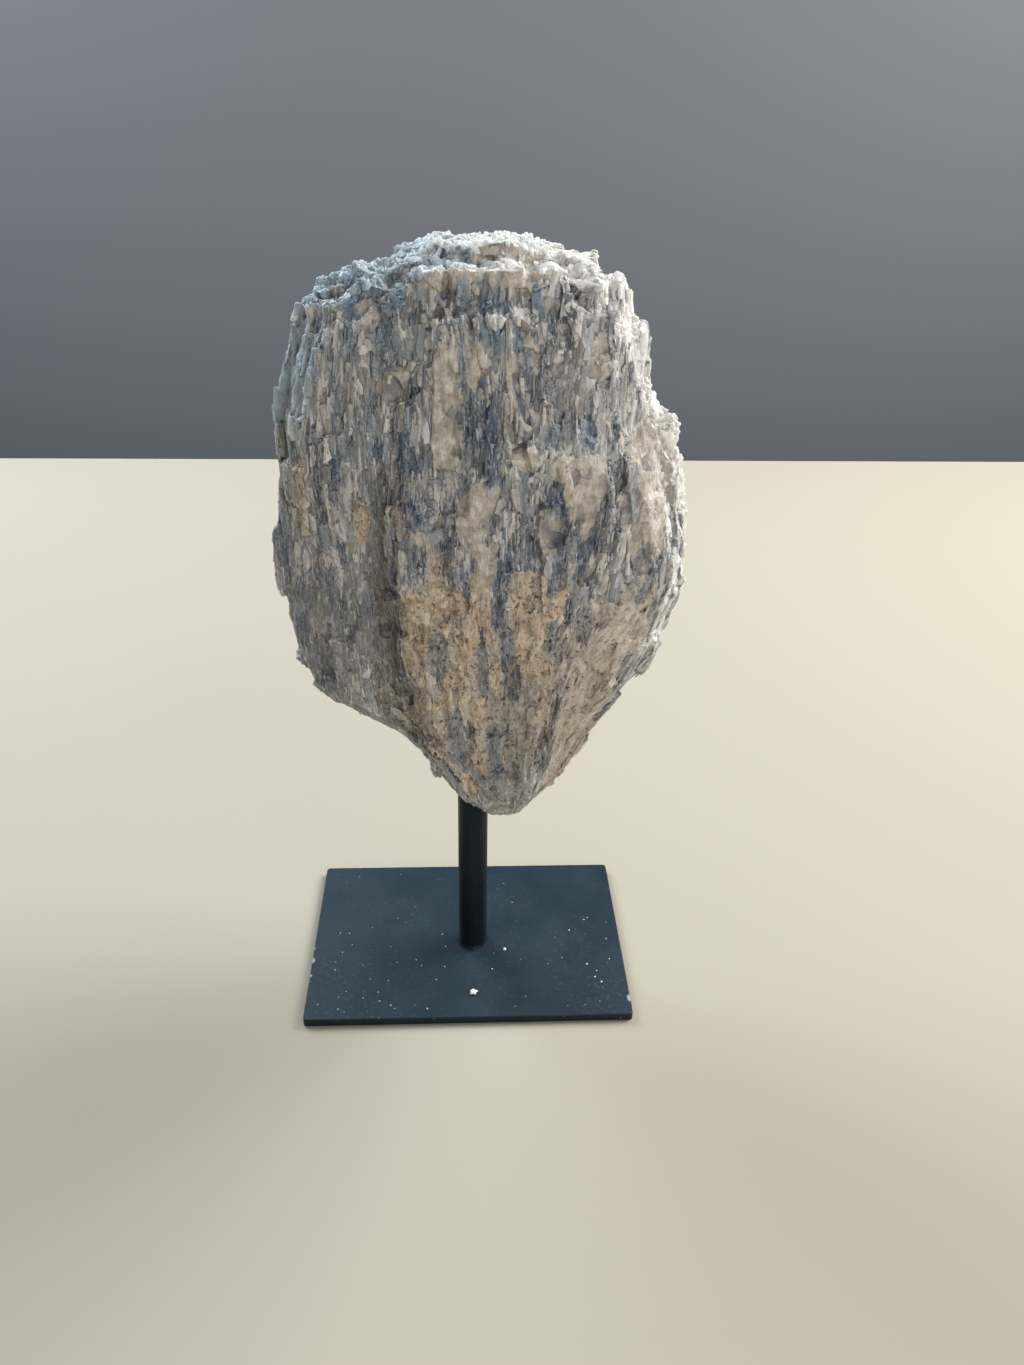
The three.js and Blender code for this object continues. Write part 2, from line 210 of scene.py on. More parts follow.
# %% [markdown]
# ## A fine copy of the stone
# The CAD stone has flat faces several millimetres wide, enough for its large forms. The rock's
# blades are finer than that. So a copy is remeshed into half-millimetre faces and smoothed a
# little, which takes off the CAD's flat corners and leaves points enough to model each blade.
# The CAD stone itself is neither moved nor changed.

# %% A fine copy of the CAD stone
VOXEL = 0.5
SMOOTH_ROUNDS = 5


def only(thing):
    """Selects thing and nothing else."""
    bpy.ops.object.select_all(action="DESELECT")
    thing.select_set(True)
    bpy.context.view_layer.objects.active = thing


def apply_modifier(thing, kind, **settings):
    """Adds a modifier, sets it and applies it."""
    only(thing)
    made = thing.modifiers.new(kind.lower(), kind)
    for name, value in settings.items():
        setattr(made, name, value)
    bpy.ops.object.modifier_apply(modifier=made.name)


def forget_frame(copy):
    """Makes a duplicate a plain object again, which rides on nothing."""
    copy.parent = None
    for key in list(copy.keys()):
        if key.startswith("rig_"):
            del copy[key]


only(frame["nodes"]["raw_kyanite"])
bpy.ops.object.duplicate()
stone = bpy.context.object
stone.name = "stone_body"
forget_frame(stone)
bpy.ops.object.mode_set(mode="EDIT")
bpy.ops.mesh.select_all(action="SELECT")
bpy.ops.mesh.remove_doubles(threshold=1e-6)
bpy.ops.object.mode_set(mode="OBJECT")
apply_modifier(stone, "REMESH", mode="VOXEL", voxel_size=VOXEL * MM, adaptivity=0.0)
apply_modifier(stone, "SMOOTH", factor=0.5, iterations=SMOOTH_ROUNDS)
print("stone copy has", len(stone.data.vertices), "points")


# %% Places and directions of all the points
def points_of(mesh):
    """The points in millimetres, and their outward directions."""
    places = np.empty(len(mesh.vertices) * 3, np.float32)
    mesh.vertices.foreach_get("co", places)
    normals = np.empty(len(mesh.vertices) * 3, np.float32)
    mesh.vertex_normals.foreach_get("vector", normals)
    return places.reshape(-1, 3) / MM, normals.reshape(-1, 3)


def smooth_step(value, low, high):
    """0 below low, 1 above high, and a soft slope between them."""
    share = np.clip((value - low) / (high - low), 0, 1)
    return share * share * (3 - 2 * share)


# %% [markdown]
# ## The stone's own coordinates
# Kyanite grows in bundles of blades, so the rock has a grain, like wood. Here the grain stands
# upright in the top half, draws together towards the tip below, and leans over on the right.
# Each point of the rock therefore keeps a place along the grain, in millimetres, as an attribute:
# how far across, how deep, and how far along. The relief and the colours both read that place,
# so a colour follows the blade that it belongs to.

# %% The grain of the rock
TIP_X = 14
TIP_Z = 67
STRAIGHT_ABOVE = 150
LEAN_RIGHT = 0.2
LEAN_FACET = 0.25


def grain_of(places):
    """Where each point is across, into and along the grain, in millimetres."""
    x, y, z = places.T
    below = np.clip((STRAIGHT_ABOVE - z) / (STRAIGHT_ABOVE - TIP_Z), 0, 1)
    drawn_in = 0.15 + 0.85 * smooth_step(x, -32, -12)
    spread = 1 - 0.5 * below**1.4 * drawn_in
    lean = LEAN_RIGHT * smooth_step(x, 8, 45) * (z - STRAIGHT_ABOVE)
    lean = lean + LEAN_FACET * smooth_step(x, 20, 38) * np.minimum(z - STRAIGHT_ABOVE, 0)
    across = (x - lean - TIP_X) / spread + TIP_X
    depth = y / (1 - 0.3 * below)
    return np.stack([across, depth, z], 1)


def keep(mesh, name, values):
    """Stores one number or one vector for each point."""
    kind = "FLOAT" if values.ndim == 1 else "FLOAT_VECTOR"
    field = mesh.attributes.new(name, kind, "POINT").data
    field.foreach_set("value" if values.ndim == 1 else "vector", values.astype(np.float32).ravel())


def along_of(places):
    """The direction of the grain at each point."""
    step = np.array([0, 0, 2.0])
    here, above = grain_of(places), grain_of(places + step)
    run = np.stack([here[:, 0] - above[:, 0], here[:, 1] - above[:, 1], np.full(len(places), 2.0)], 1)
    return run / np.linalg.norm(run, axis=1, keepdims=True)


# %% [markdown]
# ## A groove and a softer shoulder
# Left of the stained bulge, the front of the stone steps back behind a sharp, crooked edge. The
# remesh rounds that edge off, so it is cut again here: points left of a line are pushed in, steeply
# at the line and fading out over the next centimetre. The corner at the upper left is taken down
# too, because the crust of crystals that grows on it later must end where the CAD stone ends.

# %% Cut the groove and round the shoulder
# each point of the edge is (height, x), in millimetres
GROOVE_LINE = [
    (98, -7), (103, -7.5), (106, -10.6), (116, -15.1), (127, -18.2), (137, -19.5), (170, -18.5), (186, -18.3)
]
GROOVE_DEPTH = 2.6


def cut_groove(places, normals):
    """How far the front steps back just left of the groove's sharp edge, in millimetres."""
    x, _, z = places.T
    heights, edges = zip(*GROOVE_LINE)
    left = np.interp(z, heights, edges) - x
    step = smooth_step(left, -0.2, 0.7) * smooth_step(-left, -12, -2)
    fade = smooth_step(z, 97, 108) * smooth_step(-z, -188, -168)
    return GROOVE_DEPTH * step * fade * smooth_step(-normals[:, 1], 0, 0.3)


def round_shoulders(places):
    """Takes the corner off the upper left and lets the crest down a little, for the crust to lie on."""
    x, _, z = places.T
    corner = 3.4 * smooth_step(-x, 34, 50) * smooth_step(z, 202, 228)
    dip = 0.7 + 1.6 * smooth_step(-x, 10, 22) * smooth_step(x, -44, -32)
    return corner, -dip * smooth_step(z, 215, 236)


places, normals = points_of(stone.data)
cut = cut_groove(places, normals)
places[:, 1] += cut
inward, down = round_shoulders(places)
places[:, 0] += inward
places[:, 2] += down
stone.data.vertices.foreach_set("co", (places * MM).astype(np.float32).ravel())
stone.data.update()
places, normals = points_of(stone.data)
keep(stone.data, "grain", grain_of(places))
keep(stone.data, "along", along_of(places))
print("the groove is cut", round(float(cut.max()), 2), "mm deeper")

# %% [markdown]
# ## A skin to measure from
# Blades must not grow out of the rock like bristles, and the whole stone must stay as large as the
# CAD says. A light copy of the smooth stone is kept for that, called the skin. Whatever grows
# later is measured against it, and it is deleted at the end.

# %% The skin
SKIN_SHARE = 0.05
only(stone)
bpy.ops.object.duplicate()
skin = bpy.context.object
skin.name = "skin"
apply_modifier(skin, "DECIMATE", ratio=SKIN_SHARE)
print("skin has", len(skin.data.polygons), "faces")

# %% [markdown]
# ## Where each mineral shows
# The front of the real stone is mapped with strokes, as with a brush: a width and the points that
# it runs through, given as (x, z) in millimetres on the front of the stone. Each list becomes one
# mask, a number from 0 to 1 on every point. Large patches are outlines instead, which are filled.

# %% Strokes on the front of the stone
FRONT_STROKES = {
    "blue": [
        (2.5, (-30, 232), (-29, 224)),
        (2.5, (-25.5, 234.5), (-26, 228.5)),
        (1.5, (-20.5, 225), (-21, 219)),
        (2, (-17, 231.5), (-17, 226.5)),
        (2.5, (-14, 239.5), (-14, 238)),
        (4, (-8.5, 237.5), (-6.5, 238)),
        (3, (-16, 199.5), (-15.5, 188.5)),
        (2, (-23, 193.5), (-23.5, 190.5)),
        (1.5, (-1.5, 220), (-1.5, 210)),
        (2.5, (7.5, 224.5), (7.5, 217.5)),
        (2, (7, 230), (7.5, 224.5)),
        (3, (6, 203), (5.5, 186.5)),
        (2, (-35, 190.5), (-36, 179)),
        (2, (15, 216.5), (15, 210)),
        (2, (17.5, 231), (18, 226)),
        (2.5, (32.5, 200), (32, 194.5)),
        (2.5, (9.5, 230), (10, 225)),
        (1.5, (4, 228.5), (4.5, 219)),
        (4, (22, 183.5), (23.5, 178.5)),
        (2, (24.5, 179.5), (26, 171.5)),
        (1.5, (24, 165.5), (24, 161)),
        (2.5, (33.5, 168.5), (30.5, 160.5)),
        (3, (63, 153), (57.5, 151)),
        (2, (-16.5, 192), (-17, 186.5)),
        (2.5, (-15, 192.5), (-14, 188)),
        (3.5, (-15, 179.5), (-14.5, 175)),
        (1, (-6.5, 179.5), (-6.5, 177.5)),
        (2, (-0.5, 162), (-0.5, 154.5)),
        (3.5, (10, 165.5), (8.5, 157.5), (8, 146.5)),
        (2, (-34.5, 164.5), (-35, 158)),
        (1.5, (12.5, 222), (13, 216.5)),
    ],
    "bluegrey": [
        (4.5, (-21, 234), (-21.5, 228.5)),
        (4.5, (-2.5, 240.5), (-1, 239)),
        (2, (-1, 233), (-1, 224.5)),
        (2, (-33.5, 204), (-34, 197.5)),
        (2, (-38, 220), (-38, 217)),
        (2.5, (-25.5, 207.5), (-25, 197)),
        (2.5, (-29, 221.5), (-30, 215)),
        (4, (-22, 219), (-22.5, 213.5)),
        (2.5, (39, 226), (37.5, 222)),
        (4, (24, 200), (22.5, 197)),
        (3.5, (22, 208.5), (22.5, 205)),
        (2, (18, 168.5), (17, 162.5)),
        (3.5, (27, 171.5), (27.5, 166)),
        (3, (24, 159.5), (23, 155.5)),
        (3, (38.5, 186.5), (37.5, 178)),
        (4, (61, 166.5), (60.5, 159)),
        (2.5, (-16.5, 173), (-17, 168.5)),
        (3, (-14, 167.5), (-15, 161.5)),
        (2, (-3.5, 163.5), (-3.5, 158)),
        (2, (-25, 182.5), (-24.5, 174.5)),
        (4, (-52.5, 168.5), (-53, 157.5)),
        (3.5, (-28.5, 148), (-30, 140.5)),
        (3, (-8.5, 140.5), (-8, 128)),
        (2, (4, 138.5), (5, 121.5)),
        (3, (9.5, 145.5), (11, 135.5)),
        (4, (-4, 113), (-3, 101.5)),
        (3, (7, 109.5), (8, 95)),
        (3, (23.5, 144.5), (24, 136)),
        (2.5, (33, 147), (32, 140)),
        (3.5, (-48, 147.5), (-48.5, 131.5)),
        (3.5, (-39, 153), (-39, 142.5)),
        (4, (-43.5, 129), (-41, 115.5)),
        (2, (44.5, 186.5), (44.5, 173.5)),
        (2, (50, 164), (45, 153)),
        (2.5, (53.5, 159.5), (48, 149.5)),
    ],
    "dark": [
        (1.5, (-18.5, 203.5), (-18.5, 199)),
        (2, (-14, 209), (-14.5, 204)),
        (1.5, (-17.5, 196.5), (-17.5, 186)),
        (5.5, (1, 203), (2.5, 189)),
        (1.5, (-38.5, 192.5), (-40.5, 169)),
        (1, (-41, 166.5), (-42.5, 152)),
        (1.5, (19.5, 217.5), (19, 206)),
        (1.5, (22, 225.5), (22, 221)),
        (2.5, (26, 228), (26.5, 223)),
        (1.5, (39.5, 199.5), (39.5, 195.5)),
        (2, (20.5, 179), (17.5, 173)),
        (1.5, (17.5, 172), (17, 169.5)),
        (1.5, (28.5, 172.5), (30, 165.5)),
        (2, (37, 180.5), (35.5, 175), (33.5, 168.5)),
        (1.5, (42, 189.5), (41, 180.5)),
        (1.5, (41, 176), (39, 164.5)),
        (1, (36, 170.5), (36, 166.5)),
        (1.5, (34.5, 158.5), (33.5, 152)),
        (2, (14, 179), (13.5, 170.5)),
        (2.5, (-17, 186), (-17, 182)),
        (1.5, (-11.5, 168), (-13, 162.5)),
        (1.5, (-4, 175), (-6, 167)),
        (1.5, (-6, 167), (-5, 159)),
        (1, (-3.5, 180.5), (-3.5, 178)),
        (1.5, (7, 176), (5.5, 170.5)),
        (1.5, (-35, 146), (-36.5, 137)),
        (2, (-33, 137.5), (-33.5, 131.5)),
        (1.5, (-8.5, 128), (-8, 122.5)),
        (1.5, (4, 145), (4, 139)),
        (1.5, (8, 154.5), (8.5, 146)),
        (4.5, (11.5, 133), (13, 121.5)),
        (2, (0.5, 110.5), (1, 104.5)),
        (1.5, (26, 119.5), (24, 102)),
        (1.5, (27.5, 152), (27.5, 147.5)),
        (1.5, (-21.5, 185), (-21.5, 176.5)),
    ],
    "quartz": [
        (4.5, (2, 217.5), (1.5, 211)),
        (5, (5, 167.5), (4, 155)),
        (3, (16, 217), (16, 211)),
        (3.5, (12, 215), (11.5, 209.5)),
        (4, (-12.5, 171), (-11.5, 167.5)),
        (5, (34, 217.5), (34, 211.5)),
        (3.5, (23.5, 191), (24, 187)),
    ],
    "pale": [
        (4.5, (47, 214.5), (49.5, 202)),
        (3, (58.5, 142.5), (56.5, 132.5)),
        (5.5, (36.5, 231.5), (40, 227.5), (45.5, 215.5)),
        (2.5, (-42, 226.5), (-35, 232), (-19.5, 237.5)),
        (3, (-12, 240.5), (1, 241)),
        (3, (-48, 217.5), (-52.5, 194)),
    ],
    "rust": [
        (7, (-15, 151.5), (-15, 130.5)),
        (8, (-6, 162), (-5, 122.5)),
        (8.5, (0.5, 157), (2.5, 139.5)),
        (9, (16.5, 156), (19, 130.5)),
        (4, (-14, 116.5), (-13, 107.5)),
        (4, (-8, 118.5), (-7.5, 105.5)),
        (4.5, (3.5, 118.5), (4, 97)),
        (4, (7, 130.5), (7, 123)),
        (3.5, (0.5, 90), (1, 85)),
        (5, (-17.5, 177.5), (-17, 173.5)),
        (2.5, (-28, 176.5), (-29, 166.5)),
        (3.5, (-44.5, 185), (-46.5, 168)),
        (4, (25, 156), (24, 149.5)),
        (3.5, (19.5, 119), (20.5, 115)),
    ],
    # painted shade: a brown strip on the recessed front just left of the groove's edge
    "groove_shade": [
        (6.5, (-20, 185), (-22.5, 161), (-24, 128.5)),
        (6.5, (-24.5, 129), (-23, 106)),
    ],
    "beige": [
        (14, (38, 142.5), (35.5, 116.5), (31.5, 81)),
        (9.5, (48, 152.5), (46, 137)),
    ],
    "grey": [
        (13.5, (12.5, 115.5), (13, 105), (12, 86)),
        (4, (-19, 98.5), (-10.5, 104.5)),
    ],
}

FRONT_PATCHES = {
    "quartz": [
        [(25.7, 190.9), (36.7, 191), (37.3, 187.3), (31.3, 167.6), (29.3, 170.6), (24.1, 182.8)],
        [(-8.2, 218.1), (-1.4, 218.8), (-1.6, 192.7), (-4.1, 188.3), (-9.1, 189.1)],
        [(-3.2, 178.2), (0.9, 184.9), (6.9, 186.6), (8.1, 184.1), (7.6, 164.4), (2.9, 164.5), (-3.2, 171.1)],
        [(17.7, 176.5), (19.8, 178.7), (24.8, 178.2), (24.8, 164.7), (19.4, 167.4)],
        [
            (41, 190.7), (47.7, 198.4), (54.8, 194.6), (57.9, 185.6),
            (58.6, 175.2), (54.7, 161.1), (46.7, 156.8), (41.4, 173.9),
        ],
        [
            (-12.3, 232.6), (-8.5, 236.1), (3.1, 240), (9.1, 241), (16.1, 240),
            (22.3, 233.6), (15.7, 230.6), (3, 233.5), (-5.7, 230.3),
        ],
        [(-27.6, 227.4), (-23.1, 228.6), (-22.1, 224.4), (-24.1, 220.1), (-27.6, 220.7)],
        [(-22.5, 211.8), (-14.6, 213.7), (-14.8, 206.3), (-19.7, 204.5), (-22.7, 206.9)],
        [(10.9, 192.9), (16.9, 194.5), (18.5, 189.8), (15, 186.5), (11.9, 188.1)],
        [(9.4, 204.7), (10.8, 207.6), (12.4, 204.5), (10.9, 201.9)],
    ],
    "pale": [
        [(47.6, 201.3), (54, 206), (68, 192), (68, 166), (60.2, 168.5), (57.5, 186), (52.5, 195.1)],
    ],
}

# %% A brush and a fill
STROKE_EDGE = 1.4


def brush(places, normals, strokes):
    """1 on the strokes of one list, falling to 0 a little way outside them, on the front only."""
    x, z = places[:, 0], places[:, 2]
    mask = np.zeros(len(places))
    for width, *points in strokes:
        for (x0, z0), (x1, z1) in zip(points, points[1:]):
            reach = width / 2 + STROKE_EDGE
            near = np.flatnonzero(
                (x > min(x0, x1) - reach) & (x < max(x0, x1) + reach)
                & (z > min(z0, z1) - reach) & (z < max(z0, z1) + reach)
            )
            run = np.array([x1 - x0, z1 - z0])
            share = ((x[near] - x0) * run[0] + (z[near] - z0) * run[1]) / max(run @ run, 1e-6)
            share = np.clip(share, 0, 1)
            away = np.hypot(x[near] - x0 - share * run[0], z[near] - z0 - share * run[1])
            mask[near] = np.maximum(mask[near], 1 - np.clip((away - width / 2) / STROKE_EDGE, -0.5, 1))
    facing = smooth_step(-normals[:, 1], -0.2, 0.2)
    return mask * facing


def fill(places, normals, patches):
    """1 inside the outlines of one list, falling to 0 a little way outside them, on the front only."""
    x, z = places[:, 0], places[:, 2]
    mask = np.zeros(len(places))
    for outline in patches:
        corners = np.array(outline, float)
        near = np.flatnonzero(
            (x > corners[:, 0].min() - 2) & (x < corners[:, 0].max() + 2)
            & (z > corners[:, 1].min() - 2) & (z < corners[:, 1].max() + 2)
        )
        inside = np.zeros(len(near), bool)
        away = np.full(len(near), 99.0)
        for (x0, z0), (x1, z1) in zip(corners, np.roll(corners, -1, 0)):
            run = np.array([x1 - x0, z1 - z0])
            share = np.clip(((x[near] - x0) * run[0] + (z[near] - z0) * run[1]) / (run @ run), 0, 1)
            away = np.minimum(away, np.hypot(x[near] - x0 - share * run[0], z[near] - z0 - share * run[1]))
            crosses = (z0 > z[near]) != (z1 > z[near])
            inside ^= crosses & (x[near] < (x1 - x0) * (z[near] - z0) / (z1 - z0 + 1e-9) + x0)
        signed = np.where(inside, away, -away)
        mask[near] = np.maximum(mask[near], np.clip(1 + signed / STROKE_EDGE, 0, 1.5))
    return mask * smooth_step(-normals[:, 1], -0.2, 0.2)


masks = {name: brush(places, normals, strokes) for name, strokes in FRONT_STROKES.items()}
for name, patches in FRONT_PATCHES.items():
    masks[name] = np.maximum(masks[name], fill(places, normals, patches))


# %% [markdown]
# ## The crust, the stained bulge and the quiet places
# Some minerals cover whole parts of the stone, so those are told by place and by the way the
# surface faces. A pale crust of small crystals lies on the top and down the right edge, where it
# ends in a wavy line. The bulge on the front is stained all over. The left lobe is finer and
# flatter than the rest, which is kept as "calm", and the undersides are worn even.

# %% Masks by place
def span(value, low, full, full_end, high):
    """0 outside low to high, 1 from full to full_end."""
    return smooth_step(value, low, full) * smooth_step(-value, -high, -full_end)


x, y, z = places.T
nx, ny, nz = normals.T
waves = 3 * np.sin(z * 0.31) + 2 * np.sin(z * 0.83 + 1)
right_rim = smooth_step(x, 48, 57) * span(z, 128, 145, 205, 222) * smooth_step(nx + 0.4 * ny, 0.3, 0.7)
right_rim *= smooth_step(-y + waves, -4, 6)
ledge = span(x, -44, -38, 4, 12) * smooth_step(-y, 12, 22)
top_rim = smooth_step(z, 205 + 22 * ledge, 222 + 11 * ledge) * smooth_step(nz, 0.3, 0.7)
left_rim = smooth_step(-x, 30, 44) * smooth_step(z, 175, 215) * smooth_step(-nx, 0.3, 0.7) * 0.8
bulge = span(x, -21, -13, 24, 31) * span(z, 92, 104, 150, 166) * smooth_step(-ny, 0.1, 0.5)
masks["rust"] = np.maximum(masks["rust"], 0.62 * bulge)
crust = np.maximum.reduce([right_rim * 1.2, top_rim * 1.1, fill(places, normals, FRONT_PATCHES["pale"])])
masks["pale"] = np.maximum.reduce([masks["pale"], crust, left_rim])
calm = smooth_step(-x, 20, 45) * smooth_step(170 - z, 0, 40)
calm = np.maximum(calm, 0.6 * smooth_step(-x, 42, 52) * smooth_step(-z, -205, -185))
under = smooth_step(-nz, 0.1, 0.45)
keep(stone.data, "calm", calm)
keep(stone.data, "even", (1 - 0.55 * calm) * (1 - 0.75 * under))
keep(stone.data, "crust", crust)
print("crust covers", round(float((crust > 0.5).mean()) * 100, 1), "percent of the stone")


# %% [markdown]
# ## The side that the picture hides
# The back is finished too. Its strokes are drawn by chance, from a fixed seed so that every run
# gives the same stone, with the widths and lengths that the front shows.

# %% Strokes on the back
HIDDEN_STROKES = [
    # mineral, how many, (x from, to, z from, to), widths, lengths
    ("quartz", 12, (-45, 50, 110, 215), (7, 14), (6, 22)),
    ("rust", 10, (-25, 40, 85, 160), (6, 13), (8, 24)),
    ("blue", 26, (-48, 55, 95, 225), (1.5, 3.5), (8, 22)),
    ("bluegrey", 34, (-50, 55, 90, 225), (2, 5), (8, 26)),
    ("dark", 22, (-48, 55, 90, 225), (1, 2), (6, 18)),
]


def random_strokes(chance, number, box, width, length):
    """Strokes for the side that the picture hides, by luck."""
    made = []
    for _ in range(number):
        x0, z0 = chance.uniform(box[0], box[1]), chance.uniform(box[2], box[3])
        run = chance.uniform(*length)
        made.append((chance.uniform(*width), (x0, z0), (x0 + chance.uniform(-0.15, 0.15) * run, z0 + run)))
    return made


chance = random.Random(11)
away = normals * np.array([1, -1, 1])
for name, number, box, width, length in HIDDEN_STROKES:
    hidden = brush(places, away, random_strokes(chance, number, box, width, length))
    masks[name] = np.maximum(masks[name], hidden)
for name, mask in masks.items():
    keep(stone.data, name, mask)
    print(name, "covers", round(float((mask > 0.5).mean()) * 100, 1), "percent of the stone")

# %% [markdown]
# ## The relief of the rock
# A picture could be painted on a smooth lump, but the real stone catches light on thousands of
# broken blades, so the relief is real geometry. Random cells, long along the grain, each become
# one blade: it stands a little higher or lower than its neighbours and slopes its own way, and a
# crack runs round it. Three sizes are laid over each other. Quartz breaks into facets instead, the
# crust gets round lumps, and the stained part gets soft ridges, grains and pits.
# Geometry nodes do this in one pass over all the points, much faster than a loop in Python.

# %% Sizes of the relief
# each size is (width, depth, length), and after it how high it stands and how deep its crack is
BLADE_SIZES = [((4.2, 3.6, 10), 0.75, 0.5), ((2.1, 1.9, 6.0), 0.5, 0.4), ((0.9, 0.9, 3.6), 0.15, 0.12)]
LUMP_SIZES = [((5.0, 4.6, 5.4), 1.3), ((2.2, 2.0, 2.4), 0.5)]
GRAIN_SIZES = [((4.6, 4.0, 12.0), 0.9), ((2.2, 2.0, 4.0), 0.45), ((0.9, 0.8, 1.4), 0.2)]
FACET_SIZE = (5.5, 5.0, 8.0)
SINK = 0.35
SINK_CRUST = 0.8
STAND_OUT = 1.1


# %% Parts of the relief tree
def wavy(wire, grain):
    """The grain with slow waves in it, so that no blade is quite straight."""
    slow = wire.vector("MULTIPLY", grain, (0.08, 0.08, 0.04))
    waves = wire.node("ShaderNodeTexNoise", {"Vector": slow, "Scale": 1.0, "Detail": 2.0}).outputs["Color"]
    waves = wire.vector("MULTIPLY", wire.vector("SUBTRACT", waves, (0.5, 0.5, 0.5)), (5, 5, 9))
    return wire.vector("ADD", grain, waves)


def blade_relief(wire, grain):
    """Height in millimetres of blades of three sizes along the grain."""
    height = 0.0
    for seed, (size, lift, crack) in enumerate(BLADE_SIZES):
        luck, within, border, _ = wire.cells(grain, size, seed + 1)
        stand = wire.less(luck[0], 0.5)
        slope = wire.times(wire.less(luck[1], 0.5), within[2])
        roll = wire.times(wire.less(luck[2], 0.5), within[0])
        plate = wire.add(stand, wire.times(wire.add(slope, roll), 1.4))
        gap = wire.step(border, 0.0, 0.2, 1.0, 0.0)
        height = wire.add(height, wire.less(wire.times(plate, lift), wire.times(gap, crack)))
    return height


def hug(wire, geometry, limit):
    """Presses what stands out of the skin back towards it, so that nothing stands higher than limit."""
    solid = wire.node("GeometryNodeObjectInfo", {"Object": skin}).outputs["Geometry"]
    near = wire.node("GeometryNodeProximity", target_element="FACES")
    wire.feed(near.inputs[0], solid)
    outward = wire.node("GeometryNodeSampleNearestSurface", data_type="FLOAT_VECTOR")
    wire.feed(outward.inputs[0], solid)
    wire.feed(outward.inputs["Value"], wire.node("GeometryNodeInputNormal").outputs[0])
    off = wire.vector("SUBTRACT", wire.node("GeometryNodeInputPosition").outputs[0], near.outputs["Position"])
    side = wire.node("ShaderNodeVectorMath", operation="DOT_PRODUCT")
    wire.feed(side.inputs[0], off)
    wire.feed(side.inputs[1], outward.outputs["Value"])
    away = near.outputs["Distance"]
    held = wire.times(wire.math("TANH", wire.math("DIVIDE", away, limit * MM)), limit * MM)
    back = wire.times(
        wire.less(wire.math("DIVIDE", held, away), 1.0), wire.math("GREATER_THAN", side.outputs["Value"], 0.0)
    )
    push = wire.node("ShaderNodeVectorMath", operation="SCALE")
    wire.feed(push.inputs[0], off)
    wire.feed(push.inputs["Scale"], back)
    return wire.node("GeometryNodeSetPosition", {"Geometry": geometry, "Offset": push.outputs[0]}).outputs[0]


def lump_relief(wire, place, sizes, first_seed):
    """Height in millimetres of rounded grains that lie against each other."""
    height = 0.0
    for seed, (size, lift) in enumerate(sizes):
        luck, _, border, away = wire.cells(place, size, first_seed + seed, metric="EUCLIDEAN")
        dome = wire.less(0.45, wire.math("MULTIPLY", away, away))
        height = wire.add(height, wire.times(wire.add(dome, wire.times(wire.less(luck[0], 0.5), 0.8)), lift))
    return height


def field(wire, name, kind="FLOAT"):
    """An attribute of the mesh, read inside a geometry tree."""
    return wire.node("GeometryNodeInputNamedAttribute", {"Name": name}, data_type=kind).outputs["Attribute"]


def new_geometry_tree(name):
    tree = bpy.data.node_groups.new(name, "GeometryNodeTree")
    tree.interface.new_socket("Geometry", in_out="INPUT", socket_type="NodeSocketGeometry")
    tree.interface.new_socket("Geometry", in_out="OUTPUT", socket_type="NodeSocketGeometry")
    wire = Wiring(tree)
    return tree, wire, wire.node("NodeGroupInput"), wire.node("NodeGroupOutput")


# %% Heights of the rock
relief, wire, group_in, group_out = new_geometry_tree("rock_relief")
grain = field(wire, "grain", "FLOAT_VECTOR")
blades = blade_relief(wire, wavy(wire, grain))
lumps = lump_relief(wire, grain, LUMP_SIZES, 7)
grains = lump_relief(wire, grain, GRAIN_SIZES, 11)
pits = wire.step(wire.noise(grain, 0.8, 3.0, 0.6), 0.56, 0.66, 0.0, 1.0)
edge_luck, _, _, _ = wire.cells(wavy(wire, grain), BLADE_SIZES[1][0], 2)
ragged = wire.times(wire.less(edge_luck[0], 0.5), 0.7)
is_quartz = wire.step(wire.add(field(wire, "quartz"), ragged), 0.6, 1.1)
is_crust = wire.step(field(wire, "crust"), 0.4, 1.0)
dull_matter = wire.math("MAXIMUM", field(wire, "grey"), field(wire, "beige"))
is_stained = wire.step(wire.math("MAXIMUM", field(wire, "rust"), dull_matter), 0.25, 0.8)
stained_height = wire.add(wire.less(grains, pits), wire.times(blades, 0.4))
height = wire.between(is_stained, wire.times(blades, field(wire, "even")), stained_height)
facet_luck, facet_within, _, _ = wire.cells(grain, FACET_SIZE, 21, metric="EUCLIDEAN")
facets = wire.add(
    wire.less(facet_luck[0], 0.5),
    wire.add(
        wire.times(wire.less(facet_luck[1], 0.5), wire.times(facet_within[2], 2.0)),
        wire.times(wire.less(facet_luck[2], 0.5), wire.times(facet_within[0], 2.0)),
    ),
)
height = wire.between(wire.times(is_quartz, 0.8), height, wire.add(facets, wire.times(grains, 0.2)))
height = wire.between(is_crust, height, lumps)
height = wire.less(height, wire.between(is_crust, SINK, SINK_CRUST))

# %% Move the points, and note which way the smooth surface faced
FACE_BLUR = 24
outward = wire.node("GeometryNodeInputNormal").outputs[0]
push = wire.node("ShaderNodeVectorMath", operation="SCALE")
wire.feed(push.inputs[0], outward)
wire.feed(push.inputs["Scale"], wire.times(height, MM))
blurred = wire.node(
    "GeometryNodeBlurAttribute", {"Value": outward, "Iterations": FACE_BLUR}, data_type="FLOAT_VECTOR"
)
face = wire.node(
    "GeometryNodeStoreNamedAttribute",
    {"Geometry": group_in.outputs[0], "Name": "face", "Value": wire.vector("NORMALIZE", blurred.outputs[0])},
    data_type="FLOAT_VECTOR",
)
store = wire.node(
    "GeometryNodeStoreNamedAttribute",
    {"Geometry": face.outputs[0], "Name": "relief", "Value": height},
    data_type="FLOAT",
)
moved = wire.node("GeometryNodeSetPosition", {"Geometry": store.outputs[0], "Offset": push.outputs[0]})
relief.links.new(hug(wire, moved.outputs[0], STAND_OUT), group_out.inputs[0])
apply_modifier(stone, "NODES", node_group=relief)
